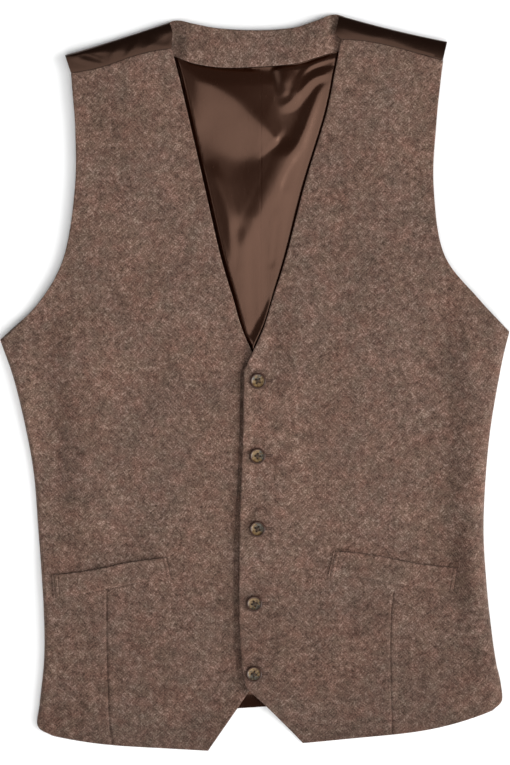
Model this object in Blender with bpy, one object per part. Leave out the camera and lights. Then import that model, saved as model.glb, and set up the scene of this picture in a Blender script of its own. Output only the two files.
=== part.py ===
"""Suit waistcoat, buttoned and laid flat with its fronts up.

Shapes are worked out in millimetres and written to the meshes in metres. +Y points to the neck,
+Z up from the surface that the garment lies on, and its back rests on Z = 0. Left and right are
the wearer's, so the left front lies at +X and laps over the right one.
"""
import math
from collections import namedtuple

import bmesh
import bpy
from mathutils import Vector
from mathutils.bvhtree import BVHTree

MM = 0.001

# Walls and gaps
FRONT_WALL = 2.2        # tweed, canvas and lining of a front, sewn as one
BACK_WALL = 1.2
LINING_WALL = 1.0
BAND_WALL = 1.8
WELT_WALL = 1.8
SEAM_GAP = 0.3
EDGE_TURN = 1.5         # how far in from a free edge the cloth starts to turn down
EDGE_DROP = 0.6         # how much lower the turned edge lies

# Stack on the surface
HEM_TIP_Z = FRONT_WALL + 0.4        # a front's outer face where it hangs past the back's hem
HEM_DROP_START = -6.0               # distance past the back's hem
HEM_DROP_END = 34.0

# Fronts
SIDE_ROLL = 8.0         # width over which a front rounds down to the side seam
LAP_WIDTH = 36.0        # strip along the edge that follows the lap's own height
LAP_BLEND = 34.0
SIDE_START = 0.45       # part of a row's width where the side's own height begins
FRONT_COLUMNS = 13
ROLL_COLUMNS = 4

# Back, lining and shoulder folds
CENTRE_SEAM_X = 5.9
FOLD_RADIUS = 4.6
FOLD_STEPS = 6
STRIP_STEPS = 3         # rows from the shoulder fold to the forward seam
SEAM_DIP = 0.4
BACK_INSET = 3.6        # the back's side edge lies this far inside the front's
LINING_INSET = 5.0
BACK_COLUMNS = 6
LINING_COLUMNS = 10
LINING_SPREAD = 1.35    # above 1 the columns crowd towards the centre seam

# Neck band
BAND_COLUMNS = 22
BAND_ROWS = 4
BAND_TOP_ENDS = (-72.6, 73.4)
BAND_BOTTOM_ENDS = (-83.0, 87.0)
BAND_END_CURVE = 3.0
BAND_RISE = 2.4         # its ends rise towards the shoulder fold
BAND_RISE_LENGTH = 20.0

# Buttons
BUTTON_RADIUS = 7.7
BUTTON_SEGMENTS = 20
HOLE_RADIUS = 0.9
HOLE_OFFSET = 1.6
HOLE_SIDES = 6

FrontRow = namedtuple(
    "FrontRow", "station edge_x edge_y side_x side_y edge_z mid_z side_z steps")
BackRow = namedtuple("BackRow", "station inner_x inner_y front_row steps")
NeckRow = namedtuple("NeckRow", "x top_y bottom_y")
Fold = namedtuple("Fold", "name start_x start_y end_x end_y half_width height")
HemCurve = namedtuple("HemCurve", "bow sway")
Shoulder = namedtuple("Shoulder", "neck_x neck_y tip_x tip_y bow seam_bow seam_sway")
Welt = namedtuple("Welt", "corner x y")
ButtonPlace = namedtuple("ButtonPlace", "name x y turn")
Profile = namedtuple("Profile", "radius z")

# Each row is one section across a front, from its centre edge to its side edge.
# edge_z, mid_z and side_z are heights of the outer face. Up to the underarm the side rounds down
# to the side seam; above it is the free edge of the armhole.
RIGHT_FRONT_ROWS = (
    FrontRow("point", -44.4, -350.2, -193.4, -335.6, 6.0, 6.0, 6.0, 2),
    FrontRow("hem corner", -40.8, -345.0, -206.6, -326.6, 6.0, 6.2, 6.0, 2),
    FrontRow("seat", -24.5, -321.3, -204.6, -304.0, 6.2, 6.6, 6.2, 3),
    FrontRow("cut-away top", 10.7, -270.0, -200.4, -262.0, 6.4, 7.0, 6.4, 3),
    FrontRow("hip", 15.4, -206.4, -201.0, -213.0, 6.6, 7.4, 6.6, 3),
    FrontRow("waist", 15.9, -140.0, -205.8, -142.0, 6.6, 7.6, 6.8, 3),
    FrontRow("ribs", 15.4, -73.4, -211.6, -77.0, 6.8, 8.0, 7.0, 3),
    FrontRow("V bottom", 14.5, -3.0, -227.2, -4.0, 7.0, 8.4, 7.2, 3),
    FrontRow("underarm", -8.8, 45.0, -242.3, 40.8, 7.2, 8.8, 7.0, 4),
    FrontRow("low armhole", -21.0, 81.5, -206.0, 75.5, 8.4, 9.0, 6.8, 3),
    FrontRow("chest", -32.1, 122.3, -181.6, 119.5, 9.0, 9.2, 7.0, 3),
    FrontRow("high chest", -49.2, 190.7, -171.0, 185.0, 9.0, 9.2, 7.4, 3),
    FrontRow("high armhole", -62.8, 255.3, -170.6, 240.0, 9.0, 9.2, 8.0, 2),
    FrontRow("collarbone", -71.8, 296.0, -173.2, 276.0, 9.0, 9.2, 8.6, 2),
    FrontRow("shoulder seam", -79.2, 317.3, -174.6, 294.3, 9.0, 9.0, 8.8, 1),
)
RIGHT_EDGE_CORNERS = (3, 7)
LEFT_FRONT_ROWS = (
    FrontRow("point", 45.8, -342.9, 226.6, -311.8, 6.0, 6.0, 6.0, 2),
    FrontRow("hem corner", 39.8, -336.6, 235.2, -302.8, 6.3, 6.2, 6.0, 2),
    FrontRow("seat", 12.4, -308.4, 234.5, -288.0, 8.0, 6.6, 6.2, 2),
    FrontRow("cut-away top", -3.6, -293.8, 232.1, -276.0, 9.2, 7.0, 6.4, 1),
    FrontRow("lap end", -9.6, -283.8, 230.3, -269.0, 9.3, 7.2, 6.5, 2),
    FrontRow("low hip", -15.2, -248.0, 226.5, -244.4, 9.4, 7.4, 6.6, 3),
    FrontRow("hip", -16.6, -187.4, 220.7, -192.0, 9.5, 7.5, 6.7, 3),
    FrontRow("waist", -15.2, -130.4, 217.9, -131.0, 9.6, 7.7, 6.8, 4),
    FrontRow("ribs", -12.2, -54.4, 223.1, -54.0, 9.8, 8.1, 7.0, 4),
    FrontRow("V bottom", -10.3, 11.6, 234.3, 14.0, 10.0, 8.5, 7.2, 2),
    FrontRow("underarm", 6.9, 50.1, 242.4, 48.6, 9.8, 8.8, 7.0, 4),
    FrontRow("low armhole", 16.0, 81.5, 212.3, 80.5, 9.3, 9.0, 6.8, 3),
    FrontRow("chest", 29.7, 122.3, 179.7, 123.0, 9.0, 9.2, 7.0, 3),
    FrontRow("high chest", 48.4, 190.7, 170.0, 188.0, 9.0, 9.2, 7.4, 3),
    FrontRow("high armhole", 66.7, 255.3, 172.5, 245.0, 9.0, 9.2, 8.0, 2),
    FrontRow("collarbone", 76.0, 299.0, 176.3, 284.0, 9.0, 9.2, 8.6, 2),
    FrontRow("shoulder seam", 82.4, 323.7, 179.0, 305.7, 9.0, 9.0, 8.8, 1),
)
LEFT_EDGE_CORNERS = (9,)
RIGHT_HEM = HemCurve(3.2, 0.8)
LEFT_HEM = HemCurve(7.0, 1.7)
HEM_BOW_ROWS = 4.0      # rows over which the hem's curve fades out
SEAM_BOW_ROWS = 1.5

RIGHT_SHOULDER = Shoulder(-74.8, 344.6, -180.3, 311.6, -0.8, 0.2, 1.8)
LEFT_SHOULDER = Shoulder(76.2, 350.3, 182.9, 324.2, -1.2, 3.0, 0.0)

# inner_x and inner_y run up the centre seam and then along the neck. front_row says which
# section of the front the row meets at the side.
RIGHT_BACK_ROWS = (
    BackRow("hem", CENTRE_SEAM_X, -308.0, 1.25, 3),
    BackRow("hip", CENTRE_SEAM_X, -206.0, 4.0, 5),
    BackRow("ribs", CENTRE_SEAM_X, -50.0, 6.5, 4),
    BackRow("underarm", CENTRE_SEAM_X, 45.0, 8.0, 3),
    BackRow("low armhole", CENTRE_SEAM_X, 110.0, 9.0, 2),
    BackRow("shoulder blade", CENTRE_SEAM_X, 170.0, 10.0, 2),
    BackRow("high back", CENTRE_SEAM_X, 250.0, 11.3, 2),
    BackRow("neck centre", CENTRE_SEAM_X, 334.4, 12.4, 1),
    BackRow("neck", -38.0, 336.8, 13.0, 1),
)
LEFT_BACK_ROWS = (
    BackRow("hem", CENTRE_SEAM_X, -308.0, 1.25, 3),
    BackRow("hip", CENTRE_SEAM_X, -206.0, 6.0, 5),
    BackRow("ribs", CENTRE_SEAM_X, -50.0, 8.0, 4),
    BackRow("underarm", CENTRE_SEAM_X, 50.0, 10.0, 3),
    BackRow("low armhole", CENTRE_SEAM_X, 115.0, 11.0, 2),
    BackRow("shoulder blade", CENTRE_SEAM_X, 175.0, 12.0, 2),
    BackRow("high back", CENTRE_SEAM_X, 255.0, 13.3, 2),
    BackRow("neck centre", CENTRE_SEAM_X, 334.4, 14.4, 1),
    BackRow("neck", 40.0, 337.6, 15.0, 1),
)
# The lining's inner edge runs up the centre seam and then along the band's lower edge.
RIGHT_LINING_ROWS = (
    BackRow("hem", CENTRE_SEAM_X, -306.0, 1.35, 3),
    BackRow("hip", CENTRE_SEAM_X, -206.0, 4.0, 4),
    BackRow("ribs", CENTRE_SEAM_X, -50.0, 6.5, 4),
    BackRow("underarm", CENTRE_SEAM_X, 30.0, 8.0, 5),
    BackRow("low armhole", CENTRE_SEAM_X, 80.0, 9.0, 5),
    BackRow("shoulder blade", CENTRE_SEAM_X, 125.0, 10.0, 7),
    BackRow("high back", CENTRE_SEAM_X, 190.0, 11.0, 11),
    BackRow("band centre", CENTRE_SEAM_X, None, 12.4, 4),
    BackRow("band", -38.0, None, 13.0, 5),
    BackRow("band end", -82.0, None, 13.7, 1),
)
LEFT_LINING_ROWS = (
    BackRow("hem", CENTRE_SEAM_X, -306.0, 1.35, 3),
    BackRow("hip", CENTRE_SEAM_X, -206.0, 6.0, 4),
    BackRow("ribs", CENTRE_SEAM_X, -50.0, 8.0, 4),
    BackRow("underarm", CENTRE_SEAM_X, 30.0, 10.0, 5),
    BackRow("low armhole", CENTRE_SEAM_X, 80.0, 11.0, 5),
    BackRow("shoulder blade", CENTRE_SEAM_X, 125.0, 12.0, 7),
    BackRow("high back", CENTRE_SEAM_X, 190.0, 13.0, 11),
    BackRow("band centre", CENTRE_SEAM_X, None, 14.4, 4),
    BackRow("band", 40.0, None, 15.0, 5),
    BackRow("band end", 86.0, None, 15.7, 1),
)
BACK_CORNER = 7

NECK_ROWS = (
    NeckRow(-88.0, 347.0, 312.5),
    NeckRow(-74.8, 344.6, 309.6),
    NeckRow(-60.0, 341.7, 303.8),
    NeckRow(-40.0, 337.7, 300.2),
    NeckRow(-20.0, 335.8, 299.2),
    NeckRow(0.0, 335.2, 300.1),
    NeckRow(20.0, 335.8, 301.2),
    NeckRow(40.0, 338.2, 303.6),
    NeckRow(58.0, 344.2, 308.8),
    NeckRow(75.8, 350.3, 314.3),
    NeckRow(90.0, 353.0, 317.5),
)

# Soft troughs down the sides of the fronts
FRONT_FOLDS = (
    Fold("right side trough", -186.0, 30.0, -183.0, -150.0, 9.0, -1.3),
    Fold("left side trough", 178.0, 60.0, 203.0, -165.0, 9.0, -1.4),
    Fold("left chest hollow", 120.0, 90.0, 150.0, -40.0, 16.0, -0.5),
    Fold("right chest hollow", -120.0, 60.0, -140.0, -60.0, 16.0, -0.5),
)
# Folds of the lining where it lies loose inside the V
LINING_FOLDS = (
    Fold("shoulder-blade bulge", -40.0, 268.0, 2.0, 234.0, 20.0, 4.2),
    Fold("bulge crest", -58.0, 293.0, 22.0, 232.0, 8.0, 2.0),
    Fold("right neck ridge", 60.0, 306.0, 32.0, 272.0, 8.0, 4.2),
    Fold("right edge ridge", 66.0, 286.0, 44.0, 238.0, 8.0, 4.0),
    Fold("long diagonal ridge", 44.0, 238.0, -2.0, 152.0, 9.0, 4.4),
    Fold("low diagonal ridge", -2.0, 152.0, -12.0, 64.0, 8.0, 3.2),
    Fold("left low ridge", -28.0, 172.0, -30.0, 130.0, 9.0, 2.0),
    Fold("right low ridge", 14.0, 106.0, 8.0, 64.0, 7.0, 1.8),
)
V_TOP_Y = 318.0
V_BOTTOM_Y = 31.0
V_TOP_X = (-78.0, 80.0)
V_BOTTOM_X = -1.0
V_FADE_OUT = 9.0        # how far a lining fold carries on under a front
V_FADE_IN = 3.0

RIGHT_WELT = (
    Welt("top outer", -192.6, -182.3),
    Welt("top inner", -82.6, -166.1),
    Welt("bottom inner", -77.8, -187.4),
    Welt("bottom outer", -190.9, -204.8),
)
LEFT_WELT = (
    Welt("top outer", 193.8, -175.8),
    Welt("top inner", 75.1, -159.8),
    Welt("bottom inner", 69.8, -183.8),
    Welt("bottom outer", 190.4, -198.6),
)
WELT_COLUMNS = 12
WELT_ROWS = 3
WELT_SWAY = -1.2

BUTTON_PLACES = (
    ButtonPlace("button_1", 3.1, 1.7, 8.0),
    ButtonPlace("button_2", 2.7, -69.6, 40.0),
    ButtonPlace("button_3", 2.6, -138.9, 20.0),
    ButtonPlace("button_4", -0.4, -209.8, 62.0),
    ButtonPlace("button_5", -0.7, -276.7, 35.0),
)
BUTTON_PROFILE = (
    Profile(5.4, 0.0),
    Profile(7.3, 0.9),
    Profile(BUTTON_RADIUS, 1.8),
    Profile(7.2, 2.9),
    Profile(6.2, 3.2),
    Profile(4.9, 2.3),
    Profile(3.4, 1.9),
)


def smooth_step(low, high, value):
    """0 below low, 1 above high and a soft S between them."""
    part = min(max((value - low) / (high - low), 0.0), 1.0)
    return part * part * (3.0 - 2.0 * part)


def mix(first, second, part):
    return first + (second - first) * part


def curve_value(values, position, corners=()):
    """The value at a fractional row number, on a smooth curve that breaks at each corner row."""
    first = min(int(position), len(values) - 2)
    part = position - first

    def slope(row, forward):
        ends = row == 0 or row == len(values) - 1 or row in corners
        if not ends:
            return (values[row + 1] - values[row - 1]) / 2.0
        return values[row + 1] - values[row] if forward else values[row] - values[row - 1]

    start_slope = slope(first, True)
    end_slope = slope(first + 1, False)
    rise = values[first + 1] - values[first]
    square = part * part
    cube = square * part
    return (values[first] + start_slope * (part - 2.0 * square + cube)
            + rise * (3.0 * square - 2.0 * cube) + end_slope * (cube - square))


def column_value(rows, column, position, corners=()):
    return curve_value([getattr(row, column) for row in rows], position, corners)


def row_positions(rows):
    """Fractional row numbers, with each row's own number of steps to the next."""
    places = [number + step / row.steps
              for number, row in enumerate(rows[:-1]) for step in range(row.steps)]
    return places + [float(len(rows) - 1)]


def fold_height(folds, x, y):
    """Sum of soft ridges and troughs, each a rounded bar that tapers past its two ends."""
    total = 0.0
    for fold in folds:
        run_x = fold.end_x - fold.start_x
        run_y = fold.end_y - fold.start_y
        length = math.hypot(run_x, run_y)
        along = ((x - fold.start_x) * run_x + (y - fold.start_y) * run_y) / length
        across = ((x - fold.start_x) * run_y - (y - fold.start_y) * run_x) / length
        past = max(-along, along - length, 0.0)
        spread = (across / fold.half_width) ** 2 + (past / (2.0 * fold.half_width)) ** 2
        total += fold.height * math.exp(-spread)
    return total


def side_corner(rows):
    """Row number of the underarm, where the side seam meets the armhole."""
    return [row.station for row in rows].index("underarm")


def side_point(rows, position):
    corners = (side_corner(rows),)
    return (column_value(rows, "side_x", position, corners),
            column_value(rows, "side_y", position, corners))


def edge_point(rows, position, corners):
    return (column_value(rows, "edge_x", position, corners),
            column_value(rows, "edge_y", position, corners))


def seam_curve(shoulder, part):
    """How far the forward shoulder seam lies above a straight line, from neck 0 to tip 1."""
    return (shoulder.seam_bow * 4.0 * part * (1.0 - part)
            + shoulder.seam_sway * math.sin(2.0 * math.pi * part))


def hem_curve(hem, part):
    """How far a front's hem hangs below a straight line, from its point 0 to the side 1."""
    return (hem.bow * 4.0 * part * (1.0 - part)
            - hem.sway * math.sin(2.0 * math.pi * part))


def back_hem_y(x):
    """The back's lower edge, straight across the middle and falling to the side seams."""
    hem, front_rows = ((LEFT_BACK_ROWS[0], LEFT_FRONT_ROWS) if x > CENTRE_SEAM_X
                       else (RIGHT_BACK_ROWS[0], RIGHT_FRONT_ROWS))
    side_x, side_y = side_point(front_rows, hem.front_row)
    part = min((x - CENTRE_SEAM_X) / (side_x - CENTRE_SEAM_X), 1.0)
    return mix(hem.inner_y, side_y, part)


def front_height(row, distance, width, x, y):
    """Height of a front's outer face at a distance from its centre edge."""
    near = 1.0 - smooth_step(LAP_WIDTH, LAP_WIDTH + LAP_BLEND, distance)
    far = smooth_step(SIDE_START * width, width - SIDE_ROLL, distance)
    height = row["mid_z"] + (row["edge_z"] - row["mid_z"]) * near
    height += (row["side_z"] - row["mid_z"]) * far
    height += fold_height(FRONT_FOLDS, x, y)
    drop = smooth_step(HEM_DROP_START, HEM_DROP_END, back_hem_y(x) - y)
    return mix(height, HEM_TIP_Z, drop)


def front_section(rows, position, corners, shoulder, hem):
    """One section across a front: its outer points and its inner points."""
    last = len(rows) - 1
    row = {name: column_value(rows, name, position) for name in ("edge_z", "mid_z", "side_z")}
    start = Vector(edge_point(rows, position, corners))
    end = Vector(side_point(rows, position))
    width = (end - start).length
    along = (end - start) / width
    up = Vector((-along.y, along.x)) if along.x > 0.0 else Vector((along.y, -along.x))
    hem_part = max(1.0 - position / HEM_BOW_ROWS, 0.0) ** 2
    seam_part = max(1.0 - (last - position) / SEAM_BOW_ROWS, 0.0) ** 2
    turned_row = position in (0.0, float(last))

    def place(distance):
        part = distance / width
        bend = seam_part * seam_curve(shoulder, part)
        bend -= hem_part * hem_curve(hem, part)
        return start + along * distance + up * bend

    outer, inner = [], []
    flat_end = width - SIDE_ROLL
    steps = [0.0] + [mix(EDGE_TURN, flat_end, k / FRONT_COLUMNS)
                     for k in range(FRONT_COLUMNS + 1)]
    for distance in steps:
        point = place(distance)
        height = front_height(row, distance, width, point.x, point.y)
        drop = EDGE_DROP if turned_row or distance == 0.0 else 0.0
        outer.append((point.x, point.y, height - drop))
        inner.append((point.x, point.y, height - FRONT_WALL))
    roll = rolled_down(rows, position)
    top = inner[-1][2] + FRONT_WALL
    turned = EDGE_DROP if turned_row else 0.0
    for step in range(1, ROLL_COLUMNS + 1):
        angle = math.radians(90.0 * (1.0 - step / ROLL_COLUMNS))
        reach = SIDE_ROLL * (1.0 - math.cos(angle))
        out = place(width - reach)
        into = place(width - reach - roll * FRONT_WALL * math.cos(angle))
        free = top - EDGE_DROP * (1.0 - math.sin(angle))
        face = mix(min(free, top - turned), (top - turned) * math.sin(angle), roll)
        outer.append((out.x, out.y, face))
        low = mix(top - FRONT_WALL, (top - FRONT_WALL) * math.sin(angle), roll)
        inner.append((into.x, into.y, low))
    return outer, inner


def rolled_down(rows, position):
    """1 along the side seam, falling to 0 just above the underarm."""
    corner = side_corner(rows)
    return 1.0 - smooth_step(corner, corner + 0.6, position)


def front_wall(rows, corners, shoulder, hem):
    sections = [front_section(rows, position, corners, shoulder, hem)
                for position in row_positions(rows)]
    return [section[0] for section in sections], [section[1] for section in sections]


def flat_section(inner_end, side_end, columns, spread, bottom, wall, height_at):
    """A straight section of a flat layer, as its lower and its upper points."""
    lower, upper = [], []
    for column in range(columns + 1):
        part = (column / columns) ** spread
        x = mix(inner_end[0], side_end[0], part)
        y = mix(inner_end[1], side_end[1], part)
        lift = height_at(x, y)
        lower.append((x, y, bottom + lift))
        upper.append((x, y, bottom + lift + wall))
    return lower, upper


def half_sign(rows):
    """+1 for the wearer's left half, which lies at +X."""
    return 1.0 if rows[-1].inner_x > 0.0 else -1.0


def layer_sections(rows, front_rows, inset, neck_gap, columns, spread, bottom, wall, height_at):
    """Sections of a half of the back or of its lining, from the hem up."""
    sign = half_sign(rows)
    sections = []
    for position in row_positions(rows):
        inner_x = column_value(rows, "inner_x", position, (BACK_CORNER,))
        if position <= BACK_CORNER:
            inner_x += sign * SEAM_GAP / 2.0
        if rows[BACK_CORNER].inner_y is None and position >= BACK_CORNER:
            inner_y = neck_line("bottom_y", inner_x) - neck_gap
        else:
            heights = [neck_line("bottom_y", row.inner_x) - neck_gap
                       if row.inner_y is None else row.inner_y for row in rows]
            inner_y = curve_value(heights, position, (BACK_CORNER,))
        front_row = column_value(rows, "front_row", position)
        side_x, side_y = side_point(front_rows, front_row)
        side = (side_x - sign * inset, side_y)
        sections.append(flat_section((inner_x, inner_y), side, columns, spread,
                                     bottom, wall, height_at))
    return sections


def shoulder_sections(shoulder, front_rows, corners, columns):
    """The back's sections round the shoulder fold and forward to the shoulder seam."""
    neck = Vector((shoulder.neck_x, shoulder.neck_y))
    tip = Vector((shoulder.tip_x, shoulder.tip_y))
    along = (tip - neck).normalized()
    up = Vector((-along.y, along.x))
    if up.y < 0.0:
        up = -up
    last = float(len(front_rows) - 1)
    seam_neck = Vector(edge_point(front_rows, last, corners)) + up * SEAM_GAP
    seam_tip = Vector(side_point(front_rows, last)) + up * SEAM_GAP
    seam_up = Vector((-(seam_tip - seam_neck).y, (seam_tip - seam_neck).x)).normalized()
    if seam_up.y < 0.0:
        seam_up = -seam_up
    sections = []
    for step in range(FOLD_STEPS + 1):
        angle = math.pi * step / FOLD_STEPS
        rise = FOLD_RADIUS * (1.0 - math.cos(angle))
        reach = FOLD_RADIUS * (math.sin(angle) - 1.0)
        outer, inner = [], []
        for column in range(columns + 1):
            part = column / columns
            bow = up * (shoulder.bow * 4.0 * part * (1.0 - part))
            point = neck.lerp(tip, part) + bow + up * reach
            into = point - up * (BACK_WALL * math.sin(angle))
            outer.append((point.x, point.y, rise))
            inner.append((into.x, into.y, rise + BACK_WALL * math.cos(angle)))
        sections.append((outer, inner))
    top_row = sections[-1][0]
    for step in range(1, STRIP_STEPS + 1):
        forward = step / STRIP_STEPS
        height = 2.0 * FOLD_RADIUS - SEAM_DIP * forward * forward - 0.2 * forward
        outer, inner = [], []
        for column in range(columns + 1):
            part = column / columns
            seam = seam_neck.lerp(seam_tip, part) + seam_up * seam_curve(shoulder, part)
            point = Vector(top_row[column][:2]).lerp(seam, forward)
            outer.append((point.x, point.y, height))
            inner.append((point.x, point.y, height - BACK_WALL))
        sections.append((outer, inner))
    return sections


def back_wall(rows, front_rows, corners, shoulder):
    flat = layer_sections(rows, front_rows, BACK_INSET, 0.0, BACK_COLUMNS, 1.0, 0.0,
                          BACK_WALL, lambda x, y: 0.0)
    sections = flat + shoulder_sections(shoulder, front_rows, corners, BACK_COLUMNS)
    return [section[0] for section in sections], [section[1] for section in sections]


def lining_lift(x, y):
    """How high the lining lies above flat: its folds in the V, fading under the fronts."""
    rise = (y - V_BOTTOM_Y) / (V_TOP_Y - V_BOTTOM_Y)
    left = mix(V_BOTTOM_X, V_TOP_X[0], rise)
    right = mix(V_BOTTOM_X, V_TOP_X[1], rise)
    inside = min(x - left, right - x)
    return fold_height(LINING_FOLDS, x, y) * smooth_step(-V_FADE_OUT, V_FADE_IN, inside)


def lining_wall(rows, front_rows):
    sections = layer_sections(rows, front_rows, LINING_INSET, SEAM_GAP, LINING_COLUMNS,
                              LINING_SPREAD, BACK_WALL + SEAM_GAP, LINING_WALL, lining_lift)
    return [section[0] for section in sections], [section[1] for section in sections]


def neck_line(column, x):
    """A neck curve's Y at X."""
    places = [row.x for row in NECK_ROWS]
    first = max(i for i in range(len(places) - 1) if places[i] <= max(x, places[0]))
    part = (x - places[first]) / (places[first + 1] - places[first])
    return column_value(NECK_ROWS, column, first + min(max(part, 0.0), 1.0))


def band_wall():
    """The neck band, whose ends pass under the shoulders."""
    lower, upper = [], []
    for row in range(BAND_ROWS + 1):
        across = row / BAND_ROWS
        blend = across ** BAND_END_CURVE
        ends = [mix(BAND_BOTTOM_ENDS[i], BAND_TOP_ENDS[i], blend) for i in (0, 1)]
        free_edge = EDGE_DROP if row in (0, BAND_ROWS) else 0.0
        low_row, high_row = [], []
        for column in range(BAND_COLUMNS + 1):
            x = mix(ends[0], ends[1], column / BAND_COLUMNS)
            y = mix(neck_line("bottom_y", x), neck_line("top_y", x), across)
            to_end = min(x - ends[0], ends[1] - x)
            rise = BAND_RISE * (1.0 - smooth_step(0.0, BAND_RISE_LENGTH, to_end))
            bottom = BACK_WALL + SEAM_GAP + rise
            low_row.append((x, y, bottom))
            high_row.append((x, y, bottom + BAND_WALL - free_edge))
        lower.append(low_row)
        upper.append(high_row)
    return lower, upper


def wall_faces(rows, columns):
    """Vertex numbers of a closed wall made of an outer and an inner grid."""
    count = rows * columns

    def at(row, column, layer):
        return layer * count + row * columns + column

    faces = []
    for row in range(rows - 1):
        for column in range(columns - 1):
            for layer in (0, 1):
                faces.append((at(row, column, layer), at(row, column + 1, layer),
                              at(row + 1, column + 1, layer), at(row + 1, column, layer)))
    for row in range(rows - 1):
        for column in (0, columns - 1):
            faces.append((at(row, column, 0), at(row + 1, column, 0),
                          at(row + 1, column, 1), at(row, column, 1)))
    for column in range(columns - 1):
        for row in (0, rows - 1):
            faces.append((at(row, column, 0), at(row, column + 1, 0),
                          at(row, column + 1, 1), at(row, column, 1)))
    return faces


def cloth_material(name, color, roughness):
    material = bpy.data.materials.new(name)
    material.use_nodes = True
    shader = material.node_tree.nodes["Principled BSDF"]
    shader.inputs["Base Color"].default_value = (*color, 1.0)
    shader.inputs["Roughness"].default_value = roughness
    shader.inputs["Metallic"].default_value = 0.0
    material.diffuse_color = (*color, 1.0)
    return material


def add_object(name, mesh, color, roughness):
    mesh.materials.append(cloth_material(f"{name}_finish", color, roughness))
    obj = bpy.data.objects.new(name, mesh)
    bpy.context.scene.collection.objects.link(obj)
    return obj


def add_wall(name, wall, color, roughness):
    """A closed cloth wall from two grids of points."""
    outer, inner = wall
    points = [Vector(point) * MM for grid in (outer, inner) for row in grid for point in row]
    shape = bmesh.new()
    vertices = [shape.verts.new(point) for point in points]
    for face in wall_faces(len(outer), len(outer[0])):
        shape.faces.new([vertices[number] for number in face])
    bmesh.ops.recalc_face_normals(shape, faces=shape.faces)
    mesh = bpy.data.meshes.new(name)
    shape.to_mesh(mesh)
    shape.free()
    mesh.shade_smooth()
    mesh.set_sharp_from_angle(angle=math.radians(40.0))
    return add_object(name, mesh, color, roughness)


def surface_of(wall):
    """A tree of a wall's outer face, to lay other pieces on."""
    outer = wall[0]
    columns = len(outer[0])
    points = [Vector(point) for row in outer for point in row]
    faces = []
    for row in range(len(outer) - 1):
        for column in range(columns - 1):
            corner = row * columns + column
            faces.append((corner, corner + 1, corner + columns + 1, corner + columns))
    return BVHTree.FromPolygons(points, faces)


def height_on(surface, x, y):
    above = 50.0
    return surface.ray_cast(Vector((x, y, above)), Vector((0.0, 0.0, -1.0)))[0].z


def welt_wall(corners, surface):
    """A welt on its front, made from the front's own points moved out."""
    top_outer, top_inner, bottom_inner, bottom_outer = [Vector((c.x, c.y)) for c in corners]
    upper, lower = [], []
    for row in range(WELT_ROWS + 1):
        across = row / WELT_ROWS
        free_edge = EDGE_DROP if row in (0, WELT_ROWS) else 0.0
        high_row, low_row = [], []
        for column in range(WELT_COLUMNS + 1):
            along = column / WELT_COLUMNS
            point = bottom_outer.lerp(bottom_inner, along).lerp(
                top_outer.lerp(top_inner, along), across)
            y = point.y + WELT_SWAY * math.sin(2.0 * math.pi * along)
            base = height_on(surface, point.x, y) + SEAM_GAP
            end_edge = EDGE_DROP if column in (0, WELT_COLUMNS) else 0.0
            low_row.append((point.x, y, base))
            high_row.append((point.x, y, base + WELT_WALL - max(free_edge, end_edge)))
        upper.append(high_row)
        lower.append(low_row)
    return upper, lower


def button_mesh():
    """A dished button with a rounded rim and four holes."""
    shape = bmesh.new()
    rings = []
    for place in BUTTON_PROFILE:
        ring = []
        for segment in range(BUTTON_SEGMENTS):
            angle = 2.0 * math.pi * segment / BUTTON_SEGMENTS
            point = (place.radius * math.cos(angle), place.radius * math.sin(angle), place.z)
            ring.append(shape.verts.new(Vector(point) * MM))
        rings.append(ring)
    for low, high in zip(rings, rings[1:]):
        for segment in range(BUTTON_SEGMENTS):
            after = (segment + 1) % BUTTON_SEGMENTS
            shape.faces.new((low[segment], low[after], high[after], high[segment]))
    shape.faces.new(rings[0])
    shape.faces.new(rings[-1])
    bmesh.ops.recalc_face_normals(shape, faces=shape.faces)
    mesh = bpy.data.meshes.new("button_blank")
    shape.to_mesh(mesh)
    shape.free()
    return with_holes(mesh)


def hole_cutter():
    shape = bmesh.new()
    for side_x in (-1.0, 1.0):
        for side_y in (-1.0, 1.0):
            made = bmesh.ops.create_cone(shape, cap_ends=True, segments=HOLE_SIDES,
                                         radius1=HOLE_RADIUS * MM, radius2=HOLE_RADIUS * MM,
                                         depth=12.0 * MM)
            bmesh.ops.translate(shape, verts=made["verts"],
                                vec=Vector((side_x, side_y, 0.0)) * HOLE_OFFSET * MM)
    mesh = bpy.data.meshes.new("hole_cutter")
    shape.to_mesh(mesh)
    shape.free()
    return mesh


def with_holes(blank):
    """The blank's mesh with its four thread holes cut through."""
    scene = bpy.context.scene
    body = bpy.data.objects.new("button_blank", blank)
    cutter = bpy.data.objects.new("hole_cutter", hole_cutter())
    for obj in (body, cutter):
        scene.collection.objects.link(obj)
    cut = body.modifiers.new("holes", "BOOLEAN")
    cut.operation = "DIFFERENCE"
    cut.object = cutter
    graph = bpy.context.evaluated_depsgraph_get()
    mesh = bpy.data.meshes.new_from_object(body.evaluated_get(graph))
    mesh.name = "button"
    for obj in (body, cutter):
        bpy.data.objects.remove(obj, do_unlink=True)
    mesh.shade_smooth()
    mesh.set_sharp_from_angle(angle=math.radians(40.0))
    return mesh


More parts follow.
